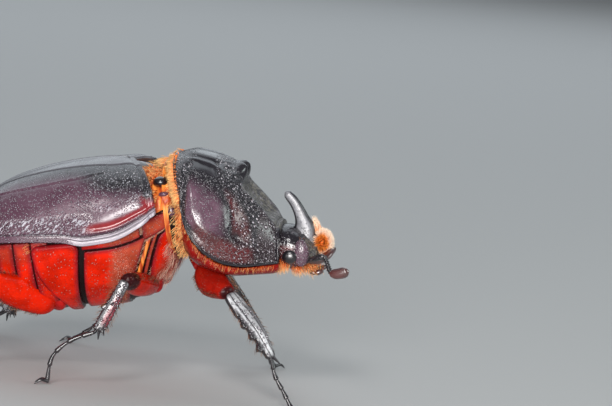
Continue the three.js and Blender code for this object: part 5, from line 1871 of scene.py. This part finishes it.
@dataclass
class Leg:
    """One leg: hip, femur, toothed tibia, five-jointed tarsus and two claws, in the frame of the floor."""

    kind: LegKind
    step: Step
    side: Side

    def hip(self) -> Shape:
        """The leg's base: a short round stump out of the body."""
        root, hip = self.side.of(self.kind.root), self.side.of(self.kind.hip)
        size = self.kind.coxa
        path = Path([root, (root + hip) / 2, hip])
        face = self.side.of(self.kind.edge)
        limb = Limb(path, lambda u: size + 0 * u, lambda u: 0.85 * size + 0 * u, face, (0.2, 0.25))
        marks = {
            "smooth": 0.6,
            "warm": 0.5,
            "black": lambda share, turn: smooth(share, 0.45, 0.3),
        }
        return limb.shape(60, 72, marks).placed(FLOOR)

    def thigh(self) -> Limb:
        """The femur: a flattened spindle, thickest before its middle."""
        hip, knee = self.side.of(self.kind.hip), self.side.of(self.step.knee)
        along = unit(knee - hip)
        start, end = hip - 0.25 * along, knee + 0.2 * along
        middle = (start + end) / 2 + self.side.of(self.kind.sag)
        share = through((0, 0.5), (0.2, 0.85), (0.5, 1), (0.8, 0.74), (0.95, 0.56), (1, 0.5))
        flat = np.cross(self.side.of(self.kind.edge), end - start)
        wide, thin = self.kind.femur

        def crease(u: Array, turn: Array) -> Array:
            """A shallow furrow along its outer face."""
            return -0.12 * bump(self.side.value * np.cos(turn) - 0.25, 0.12) * window(u, 0.15, 0.75, 0.1)

        path = Path([start, middle, end])
        return Limb(path, lambda u: wide * share(u), lambda u: thin * share(u), flat, (0.12, 0.08), crease)

    def femur(self) -> Shape:
        """The femur's mesh."""
        kind = self.kind
        marks = {
            "smooth": 0.6,
            # Painted shade: kind.shade blackens the whole femur; it also turns black from dark_from to the
            # knee.
            "black": lambda u, turn: np.maximum(kind.shade, smooth(u, kind.dark_from, kind.dark_from + 0.1)),
        }
        return self.thigh().shape(100, 84, marks).placed(FLOOR)

    def shank(self) -> tuple[Limb, Array, Array]:
        """The tibia's bare limb, and the unit directions of its length and its toothed edge."""
        knee, ankle = self.side.of(self.step.knee), self.side.of(self.step.ankle)
        ahead = unit(ankle - knee)
        edge = unit(self.side.of(self.kind.edge))
        edge = unit(edge - ahead * (edge @ ahead))
        kind = self.kind
        wide, thin = through(*kind.profile), through((0, 0.9), (0.5, 1), (1, 0.8))
        width, depth = kind.tibia

        def relief(u: Array, turn: Array) -> Array:
            """The grooves, and the teeth: each rises slowly towards the foot and falls off at its point."""
            lines = bump(np.sin(turn) - 0.35, 0.1) + bump(np.sin(turn) + 0.3, 0.1)
            teeth = (far * smooth(u, at - 0.13, at) * smooth(u, at + 0.045, at) for at, far in kind.teeth)
            grooves = -kind.grooves * lines * window(u, 0.08, 0.9, 0.06)
            return grooves + 1.15 * sum(teeth) * smooth(-np.sin(turn), 0.75, 1.0)

        path = Path([knee + 0.1 * ahead, self.side.of(self.step.shin), ankle])
        face, ends = np.cross(ahead, edge), (0.05, 0.04)
        limb = Limb(path, lambda u: width * wide(u), lambda u: depth * thin(u), face, ends, relief, 0.75)
        return limb, ahead, edge

    def spike(self, start: Array, aim: Array, reach: float, size: float, blunt: float = 0.25) -> Shape:
        """A tooth or spine: a cone with a rounded point, a little bent."""
        bend = np.array([0, 0, -0.06 * reach])
        path = Path([start, start + 0.5 * reach * aim, start + reach * aim + bend])
        radius = through((0, size), (0.5, 0.62 * size), (1, blunt * size))
        limb = Limb(path, radius, radius, (0.3, 0.2, 0.9), (0.02, 0.08))
        return limb.shape(16, 12, {"black": 0.6, "smooth": 1})

    def tibia(self) -> Shape:
        """The tibia: its flattened shaft, the teeth on its outer edge, two spurs, and its spines."""
        limb, ahead, edge = self.shank()
        panel = self.kind.panel

        def red(u: Array, turn: Array) -> Array:
            """The red panel on its two broad faces."""
            return panel * window(u, 0.3, 0.85, 0.08) * smooth(np.cos(turn + 0.5) ** 2, 0.5, 0.8)

        def painted_sheen(u: Array, turn: Array) -> Array:
            """Painted sheen: pale streaks along its edges, its faces and its upper end, where light would
            shine on it.
            """
            faces = 0.32 * smooth(np.abs(np.cos(turn)), 0.4, 0.8)
            streaks = bump(np.sin(turn) - 0.05, 0.24) + 0.8 * bump(np.sin(turn) + 0.55, 0.14)
            knee = smooth(u, 0.3, 0.1) * smooth(np.abs(np.cos(turn)), 0.3, 0.6)
            return window(u, 0.03, 0.95, 0.06) * np.clip(faces + streaks + knee, 0, 1) * (1 - 0.8 * panel)

        marks = {
            "smooth": 0.2,
            "rough": lambda u, turn: window(u, 0.05, 0.95, 0.05),
            "warm": red,
            "black": lambda u, turn: bump(np.sin(turn) - 0.35, 0.09) + bump(np.sin(turn) + 0.3, 0.09),
            "flank": painted_sheen,
        }
        parts = [limb.shape(150, 84, marks)]
        length = limb.path.length
        across = unit(np.cross(ahead, edge))
        for spread in (0.6, -0.6):
            aim = unit(spread * edge + 1.5 * ahead)
            parts.append(self.spike(limb.path.at(np.array(0.93)), aim, 0.2 * length, 0.26, 0.2))
        rings = [(share, 7, 0.26) for share in self.kind.collars] + [(0.965, self.kind.crown, 0.34)]
        for share, count, reach in rings:
            for angle in np.linspace(-PI, PI, count, endpoint=False):
                skin = limb.at(np.array([share]), np.array([angle]))[0]
                outwards = unit(skin - limb.path.at(np.array(share)))
                aim = unit(0.75 * outwards + 0.9 * ahead + 0.15 * across)
                parts.append(self.spike(skin - 0.15 * aim, aim, reach + 0.2, 0.12, 0.2))
        return joined(parts).placed(FLOOR)

    def sole(self) -> tuple[Array, Array, Array]:
        """The tarsus's last point, and the unit directions back from the toe and sideways."""
        toe = self.side.of((*self.step.toe, 0.0))
        back = self.side.of(self.step.foot[1]) - toe
        back = unit(back * np.array([1, 1, 0]))
        return toe + 1.3 * back + [0, 0, 0.34], back, np.cross(back, [0, 0, 1.0])

    def tarsus(self) -> Shape:
        """The five joints of the tarsus, each widening to its end, and two claws that stand on the floor."""
        ankle = self.side.of(self.step.ankle)
        foot = self.side.of(self.step.foot)
        pad, back, sideways = self.sole()
        path = Path([lerp(ankle, foot[0], 0.03), *foot, pad])
        count = 5

        def size(u: Array) -> Array:
            """The radius: in each joint it grows, then falls in quickly at the joint's end."""
            t = (u * count) % 1.0
            return 0.17 + 0.13 * t**1.2 * smooth(t, 1.0, 0.88)

        limb = Limb(path, size, size, (0, 0, 1), (0.03, 0.04))
        parts = [limb.shape(170, 24, {"smooth": 0.6, "black": 0})]
        for joint in range(1, count):
            share = np.array(joint / count - 0.03)
            at, ahead = path.at(share), path.ahead(share)
            for lean in (-0.5, 0.5):
                aim = unit(ahead + np.array([0, lean, -0.7]))
                parts.append(self.spike(at + 0.1 * aim, aim, 0.42, 0.07, 0.3))
        for spread in (1, -1):
            tip = self.side.of((*self.step.toe, 0.0)) + 0.6 * spread * sideways
            arch = pad - 0.6 * back + 0.42 * spread * sideways + np.array([0, 0, 0.16])
            radius = through((0, 0.2), (0.5, 0.15), (1, 0.045))
            path = Path([pad + 0.2 * back, arch, tip + [0, 0, 0.05]])
            claw = Limb(path, radius, radius, (0, 0, 1), (0.05, 0.05))
            parts.append(claw.shape(40, 20, {"smooth": 1, "black": 0}))
        return joined(parts).placed(FLOOR)

    def bristles(self, seed: int) -> Shape:
        """Its bristles: a fringe under the femur, and stiff hairs on the tibia's edges."""
        rng = np.random.default_rng(seed)
        groups = []

        def along(limb: Limb, count: int, edge: float, spread: float, strand: Strand) -> None:
            """Hairs scattered about one line of a limb, leaning towards its far end."""
            share, turn = rng.uniform(0.12, 0.92, count), edge + spread * rng.normal(size=count)
            at, out, ahead = limb.roots(share, turn)
            flat = stacked(share, (turn / (2 * PI)) % 1.0)
            lie = unit(ahead + 0.3 * out)
            groups.append(coat(at - 0.05 * out, out, lie, strand, flat, seed + len(groups)))

        thigh, (shank, _, _) = self.thigh(), self.shank()
        stiff = Strand(0.7, 0.05, lift=0.5, bend=0.4, spread=0.3, clump=0.1)
        soft = Strand(0.7, 0.032, lift=0.5, bend=0.4, spread=0.4, clump=0.4)
        for edge in (-QUARTER, QUARTER):
            along(thigh, 150, edge, 0.22, soft)
            along(shank, 46, edge, 0.18, stiff)
        along(shank, 60, 0.0, 0.9, Strand(0.4, 0.045, lift=0.3, bend=0.3, clump=0.0))
        return joined(groups).placed(FLOOR)

    def build(self, seed: int) -> None:
        """Makes the leg's pieces."""
        label = f"{self.kind.name}_{self.side.label}"
        joint = "trochanter" if self.kind.name == "hind" else "coxa"
        show(self.hip(), f"leg_base_{label}", CUTICLE, f"{joint}_{label}")
        show(self.femur(), f"leg_femur_{label}", CUTICLE, f"femur_{label}")
        show(self.tibia(), f"leg_tibia_{label}", DARK_LEG, f"tibia_{label}")
        show(self.tarsus(), f"leg_tarsus_{label}", DARK_LEG, f"tarsus_{label}")
        show(self.bristles(seed), f"leg_bristles_{label}", BRISTLE)


# ---- The beetle and its studio ----


@dataclass
class Studio:
    """A pale floor, soft lights, and the camera, which looks at the beetle's right side, a little down."""

    turned: float = 6.0
    down: float = 8.0
    roll: float = 6.0
    distance: float = 380.0
    lens: float = 203.4
    target: tuple[float, float, float] = (1.33, -0.34, 15.4)
    shift_right: float = 17.14
    shift_up: float = 3.516

    def floor(self) -> None:
        """A plain pale sheet under the feet."""
        size = 4.0
        corners = [(-size, -size, 0), (size, -size, 0), (size, size, 0), (-size, size, 0)]
        mesh = bpy.data.meshes.new("floor")
        mesh.from_pydata(corners, [], [(0, 1, 2, 3)])
        inputs = {"Base Color": (0.5, 0.505, 0.5, 1.0), "Roughness": 0.85, "Specular IOR Level": 0.2}
        mesh.materials.append(material_from("floor", lambda graph: inputs))
        sheet = bpy.data.objects.new("floor", mesh)
        bpy.context.scene.collection.objects.link(sheet)

    def sky(self) -> None:
        """An even, faintly blue light from all round."""
        world = bpy.data.worlds.new("studio")
        world.use_nodes = True
        shade = world.node_tree.nodes["Background"]
        shade.inputs["Color"].default_value = (0.86, 0.93, 1.0, 1.0)
        shade.inputs["Strength"].default_value = 0.18
        bpy.context.scene.world = world

    def lamp(self, name: str, aim: Point, distance: float, size: float, power: float, colour: Colour) -> None:
        """A square soft light that faces the beetle from a direction."""
        data = bpy.data.lights.new(name, "AREA")
        data.shape, data.size, data.energy, data.color = "SQUARE", size, power, colour
        lamp = bpy.data.objects.new(name, data)
        bpy.context.scene.collection.objects.link(lamp)
        back = unit(np.array(aim, float))
        middle = np.array([0.0, 0.0, 0.014])
        right = unit(np.cross([0.0, 0.02, 1.0], back))
        columns = np.stack([right, np.cross(back, right), back, middle + back * distance], axis=1)
        lamp.matrix_world = self.matrix(columns)

    def matrix(self, columns: Array) -> Matrix:
        """A 4 by 4 matrix from three axes and a place."""
        return Matrix(np.vstack([columns, [0, 0, 0, 1]]).tolist())

    def lights(self) -> None:
        """A broad key light beside the camera, a small one above it, and weak ones overhead and behind."""
        self.lamp("key", (0.06, -1.0, 0.14), 0.45, 0.24, 2.75, (1.0, 0.97, 0.96))
        self.lamp("fill", (-0.1, -0.75, 0.7), 0.42, 0.1, 0.45, (1.0, 0.98, 0.97))
        self.lamp("overhead", (0.95, -0.05, 0.42), 0.4, 0.18, 0.42, (0.9, 1.0, 0.98))
        self.lamp("sky", (-0.1, 0.75, 0.65), 0.5, 0.6, 1.2, (0.86, 0.93, 1.0))

    def camera(self) -> None:
        """The camera, rolled a little, with the beetle's tail just outside the left edge."""
        turned, down, roll = (math.radians(v) for v in (self.turned, self.down, self.roll))
        cos, sin = math.cos, math.sin
        ahead = np.array([-sin(turned) * cos(down), cos(turned) * cos(down), -sin(down)])
        level = np.array([cos(turned), sin(turned), 0.0])
        top = np.cross(level, ahead)
        right = level * cos(roll) + top * sin(roll)
        up = top * cos(roll) - level * sin(roll)
        eye = np.array(self.target) - ahead * self.distance + right * self.shift_right + up * self.shift_up
        data = bpy.data.cameras.new("camera")
        data.lens, data.sensor_width, data.clip_start, data.clip_end = self.lens, 36.0, 0.01, 20.0
        camera = bpy.data.objects.new("camera", data)
        bpy.context.scene.collection.objects.link(camera)
        camera.matrix_world = self.matrix(np.stack([right, up, -ahead, eye * MM], axis=1))
        bpy.context.scene.camera = camera

    def build(self) -> None:
        """Makes the floor, the light and the camera, and shows colours as they are, with no film curve."""
        bpy.context.scene.view_settings.view_transform = "Standard"
        self.floor()
        self.sky()
        self.lights()
        self.camera()


def corners(box: tuple) -> list[list[float]]:
    """A box's two corners as plain lists."""
    return [list(corner) for corner in box]


def main() -> None:
    """Builds the beetle part by part."""
    logging.basicConfig(level=logging.INFO, format="%(name)s: %(message)s")
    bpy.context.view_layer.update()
    body = HindBody()
    Elytra(body).build()
    Flanks(body).build()
    Waist().build()
    Prothorax().build()
    Head().build()
    for seed, ((pair, side), step) in enumerate(STANCE.items()):
        Leg(pair.value, step, side).build(50 + 10 * seed)
    Studio().build()


if __name__ == "__main__":
    main()
